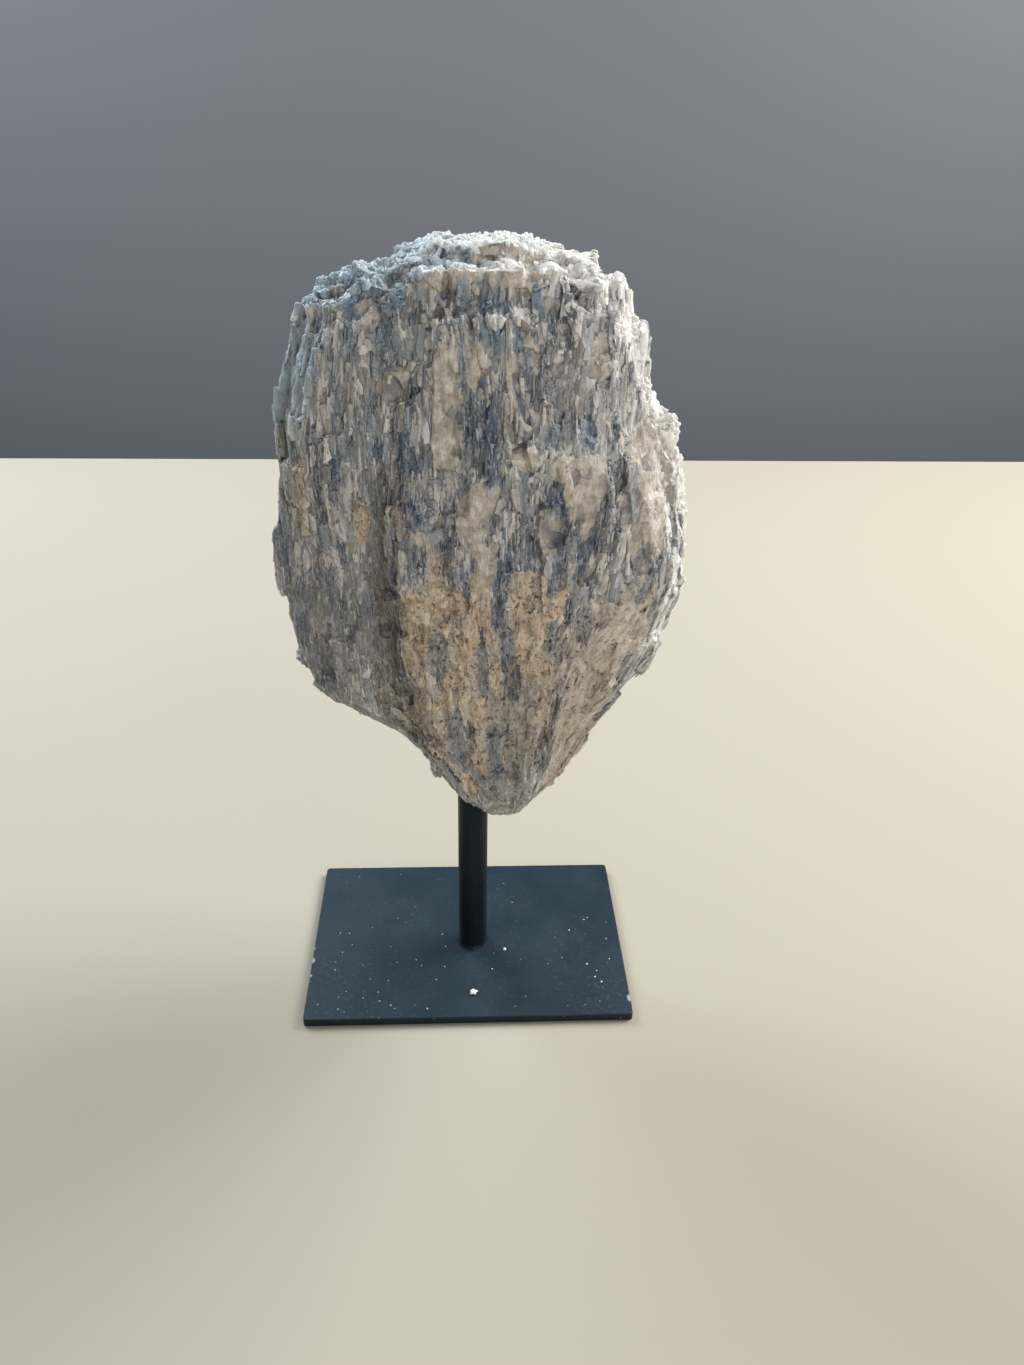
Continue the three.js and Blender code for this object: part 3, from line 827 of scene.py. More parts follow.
print("relief has", len(relief.nodes), "nodes")

# %% [markdown]
# ## A mesh of a sensible size
# The relief needed over half a million faces to be formed. Most of them lie in flat places, so
# the mesh is thinned now, and the edges of the blades keep their faces. Points that stand out of
# the CAD stone's box are pressed back onto it, because the part must keep its measured size.

# %% Thin the mesh where it is flat
BODY_TRIANGLES = 194000
triangles = sum(len(face.vertices) - 2 for face in stone.data.polygons)
apply_modifier(stone, "DECIMATE", ratio=BODY_TRIANGLES / triangles)
print("stone thinned from", triangles, "to", len(stone.data.polygons), "triangles")


# %% Keep the stone inside the CAD box
def hold_inside(mesh, low, high):
    """Presses the points that stand out of the CAD solid's box back onto its sides."""
    hair = 1e-5
    flat = np.empty(len(mesh.vertices) * 3, np.float32)
    mesh.vertices.foreach_get("co", flat)
    inside = np.clip(flat.reshape(-1, 3), np.array(low) + hair, np.array(high) - hair)
    mesh.vertices.foreach_set("co", inside.astype(np.float32).ravel())
    mesh.update()


hold_inside(stone.data, stone_low, stone_high)
only(stone)
bpy.ops.object.shade_smooth_by_angle(angle=math.radians(30))
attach(stone, "root")
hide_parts("raw_kyanite")

# %% [markdown]
# ## Blades of kyanite
# The crisp crystals come on top of the relief. A blade is a flat bar of four or six sides whose
# ends are broken off at a slant, and only four of each kind are modelled. A geometry tree copies
# them over the rock: it lays each copy along the grain and flat on the surface, sinks it in, and
# gives it a size and a turn of its own. At the end noise in the rock's own space bends them all a
# little, so no two are alike. Each blade also carries three random numbers, its luck, by which
# the material gives it a tone of its own.
# A shape that is repeated by the thousand must be light, so a blade has 12 or 44 triangles.

# %% One blade, modelled once
def keep_shape(thing, collection):
    """Notes each point's place within the template, and moves the template into a collection."""
    keep(thing.data, "blade", np.array([point.co for point in thing.data.vertices]))
    for home in thing.users_collection:
        home.objects.unlink(thing)
    collection.objects.link(thing)


def make_blade(name, top, bottom, flatness, sides, rings, chance):
    """A bar from -1 to 1 in each direction. top and bottom are (slant, scale) of its ends."""
    bpy.ops.object.select_all(action="DESELECT")
    bpy.ops.mesh.primitive_cylinder_add(vertices=sides, radius=1, depth=2, end_fill_type="NGON")
    blade = bpy.context.object
    blade.name = name
    if rings:
        bpy.ops.object.mode_set(mode="EDIT")
        bpy.ops.mesh.select_all(action="DESELECT")
        bpy.context.tool_settings.mesh_select_mode = (False, True, False)
        bpy.ops.object.mode_set(mode="OBJECT")
        for edge in blade.data.edges:
            ends = [blade.data.vertices[v].co.z for v in edge.vertices]
            edge.select = ends[0] * ends[1] < 0
        bpy.ops.object.mode_set(mode="EDIT")
        bpy.ops.mesh.subdivide(number_cuts=rings)
        bpy.ops.object.mode_set(mode="OBJECT")
    shift = {}
    for point in blade.data.vertices:
        level = round(point.co.z, 3)
        if level not in shift:
            shift[level] = (chance.uniform(-0.12, 0.12), chance.uniform(-0.12, 0.12), chance.uniform(0.85, 1.1))
        slant, scale = top if point.co.z > 0 else bottom
        share = abs(point.co.z)
        point.co.z += slant * point.co.x * share + chance.uniform(-0.05, 0.05)
        point.co.x = point.co.x * (1 + (scale - 1) * share**2) * shift[level][2] + shift[level][0]
        point.co.y = point.co.y * flatness + shift[level][1]
    return blade


# %% Four blades of each kind
# each is (slant, scale) of the top, the same of the bottom, and how flat the blade is
BLADE_ENDS = [
    ((0.10, 0.75), (-0.06, 0.9), 0.7),
    ((-0.22, 0.55), (0.05, 0.8), 0.6),
    ((0.05, 0.9), (0.16, 0.6), 0.8),
    ((-0.08, 0.8), (-0.2, 0.7), 0.7),
]
chance = random.Random(3)
coarse_shapes, fine_shapes, lump_shapes, grain_shapes = TEMPLATES = [
    bpy.data.collections.new(name) for name in ("coarse_shapes", "fine_shapes", "lump_shapes", "grain_shapes")
]
for number, (top, bottom, flatness) in enumerate(BLADE_ENDS):
    keep_shape(make_blade(f"coarse_shape_{number}", top, bottom, flatness, 6, 2, chance), coarse_shapes)
    keep_shape(make_blade(f"fine_shape_{number}", top, bottom, flatness, 4, 0, chance), fine_shapes)


# %% Four lumps for the crust and four grains for the stained part
def pull_out_of_round(name, least, most, collection):
    """Moves each point of the active ball in or out by chance."""
    lump = bpy.context.object
    lump.name = name
    for point in lump.data.vertices:
        point.co *= chance.uniform(least, most)
    keep_shape(lump, collection)


for number in range(4):
    bpy.ops.object.select_all(action="DESELECT")
    bpy.ops.mesh.primitive_uv_sphere_add(segments=6, ring_count=4, radius=1)
    pull_out_of_round(f"lump_shape_{number}", 0.72, 1.16, lump_shapes)
    bpy.ops.object.select_all(action="DESELECT")
    bpy.ops.mesh.primitive_ico_sphere_add(subdivisions=1, radius=1)
    pull_out_of_round(f"grain_shape_{number}", 0.75, 1.2, grain_shapes)
for shapes in TEMPLATES:
    bpy.context.scene.collection.children.link(shapes)


# %% Scatter the copies
def scatter(name, shapes, density, sizes, sink, turn, bend, limit, seed, axis="along"):
    """A mesh of copies of the shapes over the stone, along the grain.

    density is copies per square centimetre and the attribute that thins them, sizes the smallest
    and largest half (width, thickness, length) in millimetres, sink how deep their middles lie,
    turn the largest turn about each axis in radians, bend how far noise moves the points, limit
    how far they may stand out of the skin, and axis the attribute that their length follows."""
    tree, wire, group_in, group_out = new_geometry_tree(name)
    per_area, thinned_by = density
    per_square_metre = per_area * 1e4

    def lucky(low, high, offset):
        """A random number, or a random vector, for each copy."""
        vector = isinstance(low, tuple)
        made = wire.node("FunctionNodeRandomValue", data_type="FLOAT_VECTOR" if vector else "FLOAT")
        wire.feed(made.inputs[0 if vector else 2], low)
        wire.feed(made.inputs[1 if vector else 3], high)
        wire.feed(made.inputs["Seed"], seed + offset)
        return made.outputs[0 if vector else 1]

    spread = wire.node(
        "GeometryNodeDistributePointsOnFaces",
        {
            "Mesh": group_in.outputs[0],
            "Density": wire.times(field(wire, thinned_by), per_square_metre),
            "Seed": seed,
        },
        distribute_method="RANDOM",
    )
    axes = wire.node(
        "FunctionNodeAxesToRotation",
        {
            "Primary Axis": field(wire, axis, "FLOAT_VECTOR"),
            "Secondary Axis": field(wire, "face", "FLOAT_VECTOR"),
        },
        primary_axis="Z",
        secondary_axis="Y",
    )
    tilt = wire.node(
        "FunctionNodeRotateRotation",
        {"Rotation": axes.outputs[0], "Rotate By": lucky(tuple(-t for t in turn), turn, 1)},
        rotation_space="LOCAL",
    )
    templates = wire.node(
        "GeometryNodeCollectionInfo", {"Collection": shapes, "Separate Children": True, "Reset Children": True}
    )
    copies = wire.node(
        "GeometryNodeInstanceOnPoints",
        {
            "Points": spread.outputs["Points"],
            "Instance": templates.outputs[0],
            "Pick Instance": True,
            "Rotation": tilt.outputs[0],
            "Scale": lucky(tuple(s * MM for s in sizes[0]), tuple(s * MM for s in sizes[1]), 2),
        },
    )
    down = wire.node("ShaderNodeVectorMath", operation="SCALE")
    wire.feed(down.inputs[0], field(wire, "face", "FLOAT_VECTOR"))
    wire.feed(down.inputs["Scale"], lucky(-sink[1] * MM, -sink[0] * MM, 3))
    sunk = wire.node(
        "GeometryNodeTranslateInstances",
        {"Instances": copies.outputs[0], "Translation": down.outputs[0], "Local Space": False},
    )
    luck = wire.node(
        "GeometryNodeStoreNamedAttribute",
        {"Geometry": sunk.outputs[0], "Name": "luck", "Value": lucky((0.0, 0.0, 0.0), (1.0, 1.0, 1.0), 4)},
        data_type="FLOAT_VECTOR",
        domain="INSTANCE",
    )
    real = wire.node("GeometryNodeRealizeInstances", {"Geometry": luck.outputs[0]})
    place = wire.node("GeometryNodeInputPosition").outputs[0]
    slow = wire.node("ShaderNodeTexNoise", {"Vector": place, "Scale": 380.0, "Detail": 2.0}).outputs["Color"]
    bent = wire.node("ShaderNodeVectorMath", operation="SCALE")
    wire.feed(bent.inputs[0], wire.vector("SUBTRACT", slow, (0.5, 0.5, 0.5)))
    bent.inputs["Scale"].default_value = bend * MM
    moved = wire.node("GeometryNodeSetPosition", {"Geometry": real.outputs[0], "Offset": bent.outputs[0]})
    tree.links.new(hug(wire, moved.outputs[0], limit), group_out.inputs[0])

    only(stone)
    bpy.ops.object.duplicate()
    made = bpy.context.object
    made.name = name
    forget_frame(made)
    apply_modifier(made, "NODES", node_group=tree)
    hold_inside(made.data, stone_low, stone_high)
    spots, _ = points_of(made.data)
    made.data.attributes.remove(made.data.attributes["grain"])
    keep(made.data, "grain", grain_of(spots))
    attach(made, "root")
    triangles = sum(len(face.vertices) - 2 for face in made.data.polygons)
    print(name, "has", triangles, "triangles")
    return made


# %% [markdown]
# ## Where blades and grains grow
# Each kind has a share from 0 to 1 on every point of the rock, which thins its copies. Blades grow
# where the grain lies in the surface, and only where neither end would stick out over an edge,
# which is tested against the skin. Quartz and the stained part stay almost bare of them. Lumps
# stand upright on the crust, thin fibres cover the left lobe, and grains cover the stain.

# %% Shares of each kind
def read_points(mesh, name, width=1):
    values = np.empty(len(mesh.vertices) * width, np.float32)
    mesh.attributes[name].data.foreach_get("value" if width == 1 else "vector", values)
    return values if width == 1 else values.reshape(-1, 3)


spots, _ = points_of(stone.data)
face = read_points(stone.data, "face", 3)
along = read_points(stone.data, "along", 3)
steep = (along * face).sum(1)
flat_on = along - face * steep[:, None] * 0.9
flat_on /= np.linalg.norm(flat_on, axis=1, keepdims=True)
stone.data.attributes["along"].data.foreach_set("vector", flat_on.astype(np.float32).ravel())
keep(stone.data, "upright", along)
now = {name: np.clip(read_points(stone.data, name), 0, 1) for name in FRONT_STROKES}
lies = 1 - smooth_step(np.abs(steep), 0.3, 0.5)


def stays_in(reach):
    """1 where a blade that reaches so far along the grain keeps to the skin, 0 where its end sticks out."""
    tree = BVHTree.FromObject(skin, bpy.context.evaluated_depsgraph_get())
    out = np.zeros(len(spots))
    for number in np.flatnonzero(lies > 0.02):
        for way in (reach, -reach):
            end = Vector((spots[number] + flat_on[number] * way) * MM)
            spot, normal, _, _ = tree.find_nearest(end)
            out[number] = max(out[number], (end - spot).dot(normal) / MM)
    return 1 - smooth_step(out, 0.3, 1.0)


stained_there = smooth_step(now["rust"], 0.15, 0.6) * 0.93
crusted = np.clip(read_points(stone.data, "crust"), 0, 1)
bare = np.maximum.reduce(
    [now["quartz"], stained_there, now["grey"] * 0.8, crusted * 0.9, now["beige"] * 0.8]
)
veins = np.maximum.reduce([now["blue"], now["bluegrey"], now["dark"]])
x, _, z = spots.T
middle = span(x, -18, -12, 28, 34) * smooth_step(-z, -190, -176) * smooth_step(-face[:, 1], 0, 0.3)
upper = smooth_step(z, 130, 170)
lobe = smooth_step(-x, 10, 22) * smooth_step(-z, -185, -160)
edge = smooth_step(np.abs(steep), 0.3, 0.5) * smooth_step(z, 200, 215) * smooth_step(face[:, 2], 0.1, 0.4)
room = lies * (1 - bare)
short_room = stays_in(2.2)
shares = {
    "coarse_share": room * (1 - 0.8 * middle) * upper * stays_in(3.8),
    "fine_share": room * (1 - np.clip(0.75 * middle - veins, 0, 1)) * short_room,
    "fibre_share": room * np.clip(0.3 + lobe, 0, 1) * short_room,
    "crust_share": np.maximum(crusted, edge * (1 - 0.9 * now["quartz"])),
    "stain_share": np.maximum(now["rust"], 0.5 * now["grey"]) * (1 - veins),
}
for name, share in shares.items():
    keep(stone.data, name, share)
    print(name, "is", round(float(share.mean()), 3), "on average")


# %% Scatter the five kinds
coarse = scatter(
    "coarse_blades",
    coarse_shapes,
    density=(11.0, "coarse_share"),
    sizes=[(0.6, 0.6, 1.3), (1.8, 1.4, 4.4)],
    sink=(0.2, 1.0),
    turn=(0.1, 0.16, 0.6),
    bend=1.7,
    limit=1.0,
    seed=5,
)
fine = scatter(
    "fine_blades",
    fine_shapes,
    density=(27.0, "fine_share"),
    sizes=[(0.3, 0.3, 1.0), (0.85, 0.6, 3.2)],
    sink=(0.05, 0.45),
    turn=(0.05, 0.08, 0.6),
    bend=0.8,
    limit=0.65,
    seed=9,
)
fibres = scatter(
    "fibres",
    fine_shapes,
    density=(50.0, "fibre_share"),
    sizes=[(0.16, 0.2, 0.9), (0.42, 0.4, 3.0)],
    sink=(0.0, 0.25),
    turn=(0.05, 0.08, 0.6),
    bend=0.5,
    limit=0.7,
    seed=17,
)
crust = scatter(
    "quartz_crust",
    lump_shapes,
    density=(30.0, "crust_share"),
    sizes=[(0.5, 0.5, 0.7), (1.8, 1.5, 2.4)],
    sink=(0.2, 1.1),
    turn=(0.5, 0.5, 3.0),
    bend=0.8,
    limit=1.3,
    seed=13,
    axis="upright",
)
stained = scatter(
    "stained_grains",
    grain_shapes,
    density=(50.0, "stain_share"),
    sizes=[(0.2, 0.2, 0.3), (0.65, 0.5, 1.1)],
    sink=(0.1, 0.45),
    turn=(0.3, 0.3, 1.5),
    bend=0.3,
    limit=0.7,
    seed=15,
)
for shapes in TEMPLATES:
    for shape in list(shapes.objects):
        bpy.data.objects.remove(shape)
    bpy.data.collections.remove(shapes)
only(crust)
bpy.ops.object.shade_smooth_by_angle(angle=math.radians(50))

# %% [markdown]
# ## The colours of the minerals
# One node group colours both the rock and the blades on it. Each blade gets a tone by luck, from a
# warm dark grey to nearly white, and some turn blue-grey. Over that lie the minerals of the masks:
# the stained part, quartz, dull grey and beige matter, the blue veins and the pale crust. Every
# patch has a ragged edge, because noise drawn out along the grain shakes its mask first, so a
# vein ends where blades end and not in a soft line. Near the top the blue is milky.
# Light and shade are painted in as well: a glint on some blades, lighter blades at the upper right,
# a crust painted partly whiter to the right, and painted shade in the groove, on the left lobe and
# in fine lines between the fibres.

# %% Colour helpers
def srgb(r, g, b):
    """A colour given as seen on a screen, 0 to 255, as the linear values that the shaders take."""
    return tuple(((c / 255 + 0.055) / 1.055) ** 2.4 if c > 10 else c / 255 / 12.92 for c in (r, g, b)) + (1.0,)


def ramp(wire, value, *stops):
    """A colour chosen by value. Each stop is (value, colour)."""
    made = wire.node("ShaderNodeValToRGB", {"Fac": value})
    points = made.color_ramp.elements
    while len(points) < len(stops):
        points.new(0.5)
    for point, (at, colour) in zip(points, stops):
        point.position, point.color = at, colour
    return made.outputs[0]


def new_shader_group(name, takes, gives):
    """A shader node group, with its wiring and the sockets inside it that bring in and take out."""
    made = bpy.data.node_groups.new(name, "ShaderNodeTree")
    for socket, kind in takes.items():
        made.interface.new_socket(socket, in_out="INPUT", socket_type=kind)
    for socket, kind in gives.items():
        made.interface.new_socket(socket, in_out="OUTPUT", socket_type=kind)
    wire = Wiring(made)
    return made, wire, wire.node("NodeGroupInput").outputs, wire.node("NodeGroupOutput").inputs


# %% The palette
# tones are the stops of a ramp, from dark to light
BLADE_TONES = [
    (0.14, srgb(114, 108, 99)),
    (0.3, srgb(152, 146, 136)),
    (0.46, srgb(184, 178, 168)),
    (0.62, srgb(212, 208, 200)),
    (0.8, srgb(236, 234, 229)),
]
STAIN_TONES = [
    (0.33, srgb(118, 106, 92)),
    (0.41, srgb(162, 142, 116)),
    (0.5, srgb(206, 176, 140)),
    (0.58, srgb(214, 190, 158)),
    (0.68, srgb(226, 214, 194)),
]
QUARTZ_TONES = [(0.36, srgb(142, 129, 114)), (0.5, srgb(184, 171, 154)), (0.62, srgb(222, 213, 200))]
BEIGE_TONES = [(0.36, srgb(168, 150, 130)), (0.6, srgb(226, 210, 190))]
# the crust's pale tones; the crust runs through them from left to right, so they are partly painted light
CRUST_TONES = [
    (0.15, srgb(164, 182, 192)),
    (0.35, srgb(210, 221, 227)),
    (0.6, srgb(226, 227, 222)),
    (0.9, srgb(242, 240, 232)),
]
WARM_BLADE = srgb(160, 140, 116)
BLUE_BLADE = srgb(114, 128, 142)
# the colour of painted light on the blades of the upper right
LIT_BLADE_WHITE = srgb(232, 230, 224)
# a painted highlight, laid on some blades by luck
PAINTED_GLINT = srgb(240, 232, 224)
# painted shade in the groove, tinted brown
GROOVE_SHADE_BROWN = srgb(138, 120, 98)
GREY_MATTER = srgb(136, 132, 124)
# these two are (lower down, near the top)
VEIN_GREY = (srgb(94, 112, 126), srgb(134, 150, 164))
VEIN_BLUE = (srgb(52, 79, 110), srgb(100, 126, 150))
VEIN_DARK = srgb(47, 61, 76)
PIT = srgb(74, 64, 56)
QUARTZ_CRACK = srgb(96, 88, 78)
SPECK = srgb(226, 222, 212)
# painted shade in fine lines between the fibres
THREAD_SHADE = srgb(96, 92, 88)
LOBE_SHADE = srgb(92, 94, 92)
# painted shade over the left lobe, which faces away from the light
DARK_HAIR = srgb(80, 80, 82)
PALE_HAIR = srgb(214, 210, 202)
# painted shade in gaps and hollows: warmer low down, cooler higher up
GAP_SHADE_TONES = (srgb(72, 67, 62), srgb(62, 72, 88))

# %% Inputs of the mineral group
MASKS = ("blue", "bluegrey", "dark", "quartz", "rust", "groove_shade", "beige", "grey", "pale")
MINERAL_INPUTS = {
    "Grain": "NodeSocketVector",
    "Luck": "NodeSocketVector",
    "Fine luck": "NodeSocketFloat",
    "Shade amount": "NodeSocketFloat",
    "Fibres and lobe shade": "NodeSocketFloat",
    **{mask: "NodeSocketFloat" for mask in MASKS},
}
FINISH_OUTPUTS = {"Color": "NodeSocketColor", "Roughness": "NodeSocketFloat", "Height": "NodeSocketFloat"}
minerals, wire, given, result = new_shader_group("mineral_colours", MINERAL_INPUTS, FINISH_OUTPUTS)
grain = given["Grain"]
across, _, up = wire.split(grain)
luck = wire.split(given["Luck"])
fine_luck = given["Fine luck"]


# %% Noise along the grain
def drawn_out(shrink, scale, detail=2.0, roughness=0.5):
    """Noise drawn out along the grain, the longer the smaller shrink is."""
    return wire.noise(wire.vector("MULTIPLY", grain, (1, 1, shrink)), scale, detail, roughness)


streaks = drawn_out(0.14, 1.3, 3.0, 0.6)
threads = drawn_out(0.2, 3.4, 2.0, 0.6)
lines = drawn_out(0.11, 1.5, 3.0, 0.65)
hairs = drawn_out(0.14, 5.5, 2.0, 0.7)
cloud = wire.add(wire.times(wire.noise(grain, 0.35, 5.0, 0.65), 0.75), wire.times(streaks, 0.25))

# %% A tone for each blade
blade_tone = wire.add(
    wire.times(luck[0], 0.55), wire.add(wire.times(fine_luck, 0.2), wire.times(streaks, 0.25))
)
base = ramp(wire, blade_tone, *BLADE_TONES)
base = wire.tint(wire.step(drawn_out(0.45, 0.07), 0.52, 0.64, 0.0, 0.25), base, WARM_BLADE)
blue_luck = wire.add(wire.times(luck[1], 0.5), drawn_out(0.3, 0.16))
base = wire.tint(wire.step(blue_luck, 0.62, 0.84, 0.0, 0.7), base, BLUE_BLADE)
# painted light: blades are tinted whiter towards the right and above 160 mm, where the light falls
painted_light_upper_right = wire.times(wire.step(across, 5, 42), wire.step(up, 160, 190, 0.0, 0.4))
base = wire.tint(painted_light_upper_right, base, LIT_BLADE_WHITE)
# painted highlight: some blades, chosen by luck, are tinted towards a glint
base = wire.tint(wire.step(luck[2], 0.77, 0.88, 0.0, 0.6), base, PAINTED_GLINT)


# %% Minerals where their masks are
def patch(base, name, colour, share, edge, softness, by_luck=0.4, by_streaks=1.3, by_threads=0.0, lined=0.0):
    """Lays a mineral's colour over base where its mask passes edge. Gives the colour and how much shows.

    by_luck, by_streaks and by_threads are how strongly those shake the mask first. lined, from 0 to
    1, breaks the patch up into thin lines along the grain."""
    ragged = wire.add(given[name], wire.times(wire.less(fine_luck, 0.5), by_luck))
    ragged = wire.add(ragged, wire.times(wire.less(streaks, 0.5), by_streaks))
    ragged = wire.add(ragged, wire.times(wire.less(threads, 0.5), by_threads))
    amount = wire.step(ragged, edge - softness, edge + softness)
    if lined:
        amount = wire.times(amount, wire.step(lines, 0.43, 0.55, 1 - lined, 1.0))
    return wire.tint(wire.times(amount, share), base, colour), amount


stain_tone = wire.add(wire.times(drawn_out(0.6, 0.45, 5.0, 0.75), 0.85), wire.times(luck[0], 0.15))
stain = ramp(wire, stain_tone, *STAIN_TONES)
broken = wire.step(drawn_out(0.35, 0.3, 4.0, 0.65), 0.34, 0.58, 0.45, 0.85)
base, rust = patch(
    base, "rust", stain, broken, edge=0.5, softness=0.7, by_luck=0.3, by_streaks=1.0, by_threads=0.8
)
pits = wire.step(wire.noise(grain, 1.5, 2.0, 0.6), 0.62, 0.7, 0.0, 0.5)
base = wire.tint(wire.times(pits, wire.math("MAXIMUM", rust, given["grey"])), base, PIT)
# painted shade: the strip left of the groove's edge is tinted brown
base, _ = patch(base, "groove_shade", GROOVE_SHADE_BROWN, 0.5, edge=0.5, softness=0.5)
base, _ = patch(base, "beige", ramp(wire, cloud, *BEIGE_TONES), 0.7, edge=0.5, softness=0.5)
base, _ = patch(base, "grey", GREY_MATTER, 0.55, edge=0.5, softness=0.5)

# %% Quartz, veins and crust
_, _, crack, _ = wire.cells(grain, FACET_SIZE, 21, metric="EUCLIDEAN")
quartz_colour = ramp(wire, cloud, *QUARTZ_TONES)
quartz_colour = wire.tint(wire.step(crack, 0.0, 0.06, 0.15, 0.0), quartz_colour, QUARTZ_CRACK)
base, quartz = patch(base, "quartz", quartz_colour, 0.75, edge=0.8, softness=0.3, by_luck=0.5)

VEIN = {"by_luck": 0.5, "by_streaks": 2.0, "by_threads": 1.8}
milky = wire.step(up, 206, 224)
base, _ = patch(base, "bluegrey", wire.tint(milky, *VEIN_GREY), 0.75, edge=0.66, softness=0.35, lined=0.4, **VEIN)
base, _ = patch(base, "blue", wire.tint(milky, *VEIN_BLUE), 0.9, edge=0.72, softness=0.3, lined=0.5, **VEIN)
base, _ = patch(base, "dark", VEIN_DARK, 0.9, edge=0.76, softness=0.3, lined=0.6, **VEIN)

# partly painted light: across the stone the crust runs from bluish grey on the left to white on the right
crust_light_across = wire.add(wire.times(across, 0.02), wire.noise(grain, 0.12, 3.0))
crust_tone = wire.add(crust_light_across, wire.times(wire.less(luck[0], 0.5), 0.3))
base, _ = patch(base, "pale", ramp(wire, crust_tone, *CRUST_TONES), 0.94, edge=0.5, softness=0.4)
specks = wire.step(wire.noise(grain, 1.7, 2.0), 0.6, 0.72)
base = wire.tint(wire.times(specks, 0.3), base, SPECK)

# %% Fibre lines, painted shade, gloss and fine bumps
fibrous = wire.math("MAXIMUM", given["bluegrey"], given["groove_shade"])
fibrous = wire.math("MAXIMUM", given["Fibres and lobe shade"], fibrous, clamp=True)
# painted shade: fine dark lines along the grain, between the fibres
painted_thread_shade = wire.times(wire.step(threads, 0.5, 0.72, 0.0, 0.4), wire.between(fibrous, 0.6, 1.0))
base = wire.tint(painted_thread_shade, base, THREAD_SHADE)
# painted shade: the left lobe and the upper left edge are darkened as a whole
base = wire.tint(wire.times(given["Fibres and lobe shade"], 0.35), base, LOBE_SHADE)
base = wire.tint(wire.times(wire.step(hairs, 0.5, 0.62, 0.0, 0.5), fibrous), base, DARK_HAIR)
base = wire.tint(wire.times(wire.step(hairs, 0.46, 0.36, 0.0, 0.4), fibrous), base, PALE_HAIR)
# painted shade: darkens the colour as far as the shade amount says, in gaps and behind blades
base = wire.tint(given["Shade amount"], base, wire.tint(wire.step(up, 130, 175), *GAP_SHADE_TONES))
wire.feed(result["Color"], base)

LEAST_ROUGHNESS = 0.12
gloss = wire.step(luck[2], 0.6, 0.85, 0.0, 0.24)
dull = wire.add(wire.between(quartz, 0.26, 0.2), wire.times(wire.math("MAXIMUM", rust, fibrous), 0.25))
dull = wire.add(wire.times(streaks, 0.3), dull)
wire.feed(result["Roughness"], wire.math("MAXIMUM", wire.less(dull, gloss), LEAST_ROUGHNESS))
fine_bumps = wire.add(wire.times(threads, 0.6), wire.times(wire.noise(grain, 2.2, 3.0, 0.6), 0.4))
wire.feed(result["Height"], fine_bumps)
print("mineral group has", len(minerals.nodes), "nodes")

# %% [markdown]
# ## Two finishes from one group
# The rock takes its luck from the very cells that formed its blades, so each of them has a tone of
# its own. Painted shade darkens it in the gaps between them, and a little higher up, behind the
# blades that stand on it. The copies carry their luck with them. Light goes a few millimetres into
# kyanite and quartz, so both finishes let a little of it spread below the surface.

# %% The two stone materials
GLOW = {"Subsurface Weight": 0.3, "Subsurface Radius": (1.0, 0.85, 0.7), "Subsurface Scale": 0.003}


def attribute(wire, name, output="Fac"):
    """An attribute of the mesh, read inside a material."""
    return wire.node("ShaderNodeAttribute", attribute_name=name).outputs[output]


def finish_with(wire, group, bump_strength, bump_depth, **shader_inputs):
    """Joins a group's three outputs to a shader and the shader to the surface."""
    bump = wire.node(
        "ShaderNodeBump",
        {"Strength": bump_strength, "Distance": bump_depth, "Height": group.outputs["Height"]},
    )
    shader = wire.node(
        "ShaderNodeBsdfPrincipled",
        {"Base Color": group.outputs["Color"], "Roughness": group.outputs["Roughness"], "Normal": bump.outputs[0]},
    )
    for name, value in shader_inputs.items():
        shader.inputs[name].default_value = value
    wire.node("ShaderNodeOutputMaterial", {"Surface": shader.outputs[0]})


def empty_material(name):
    made = bpy.data.materials.new(name)
    made.use_nodes = True
    made.node_tree.nodes.clear()
    return made, Wiring(made.node_tree)


def stone_material(name):
    """A material that reads the masks and the grain. Its group's Luck and Deep are still to be fed."""
    made, wire = empty_material(name)
    group = wire.node("ShaderNodeGroup", node_tree=minerals)
    for mask in MASKS:
        wire.feed(group.inputs[mask], attribute(wire, mask))
    wire.feed(group.inputs["Fibres and lobe shade"], attribute(wire, "calm"))
    grain = attribute(wire, "grain", "Vector")
    wire.feed(group.inputs["Grain"], grain)
    finish_with(wire, group, 0.8, 0.0007, **GLOW)
    return made, wire, group, grain


# %% The rock's own finish
body_finish, wire, group, grain = stone_material("kyanite_body")
bent = wavy(wire, grain)
luck_large, _, _, _ = wire.cells(bent, BLADE_SIZES[1][0], 2)
luck_fine, _, _, _ = wire.cells(bent, BLADE_SIZES[2][0], 3)
luck = wire.node("ShaderNodeCombineXYZ", {"X": luck_large[0], "Y": luck_large[1], "Z": luck_large[2]})
wire.feed(group.inputs["Luck"], luck.outputs[0])
wire.feed(group.inputs["Fine luck"], luck_fine[0])
bright = wire.math("MAXIMUM", attribute(wire, "quartz"), attribute(wire, "pale"))
plain = wire.math("SUBTRACT", 1.0, bright, clamp=True)
# painted shade: above 150 mm the rock is darkened behind the blades, though not on quartz or crust
painted_shade_behind_blades = wire.times(wire.step(wire.split(grain)[2], 150, 185, 0.0, 0.14), plain)
# painted shade: the rock is darkened where its relief sinks into the gaps between blades
painted_gap_shade = wire.step(attribute(wire, "relief"), -1.3, -0.55, 0.65, 0.0)
wire.feed(group.inputs["Shade amount"], wire.math("MAXIMUM", painted_gap_shade, painted_shade_behind_blades))
stone.data.materials.clear()
stone.data.materials.append(body_finish)

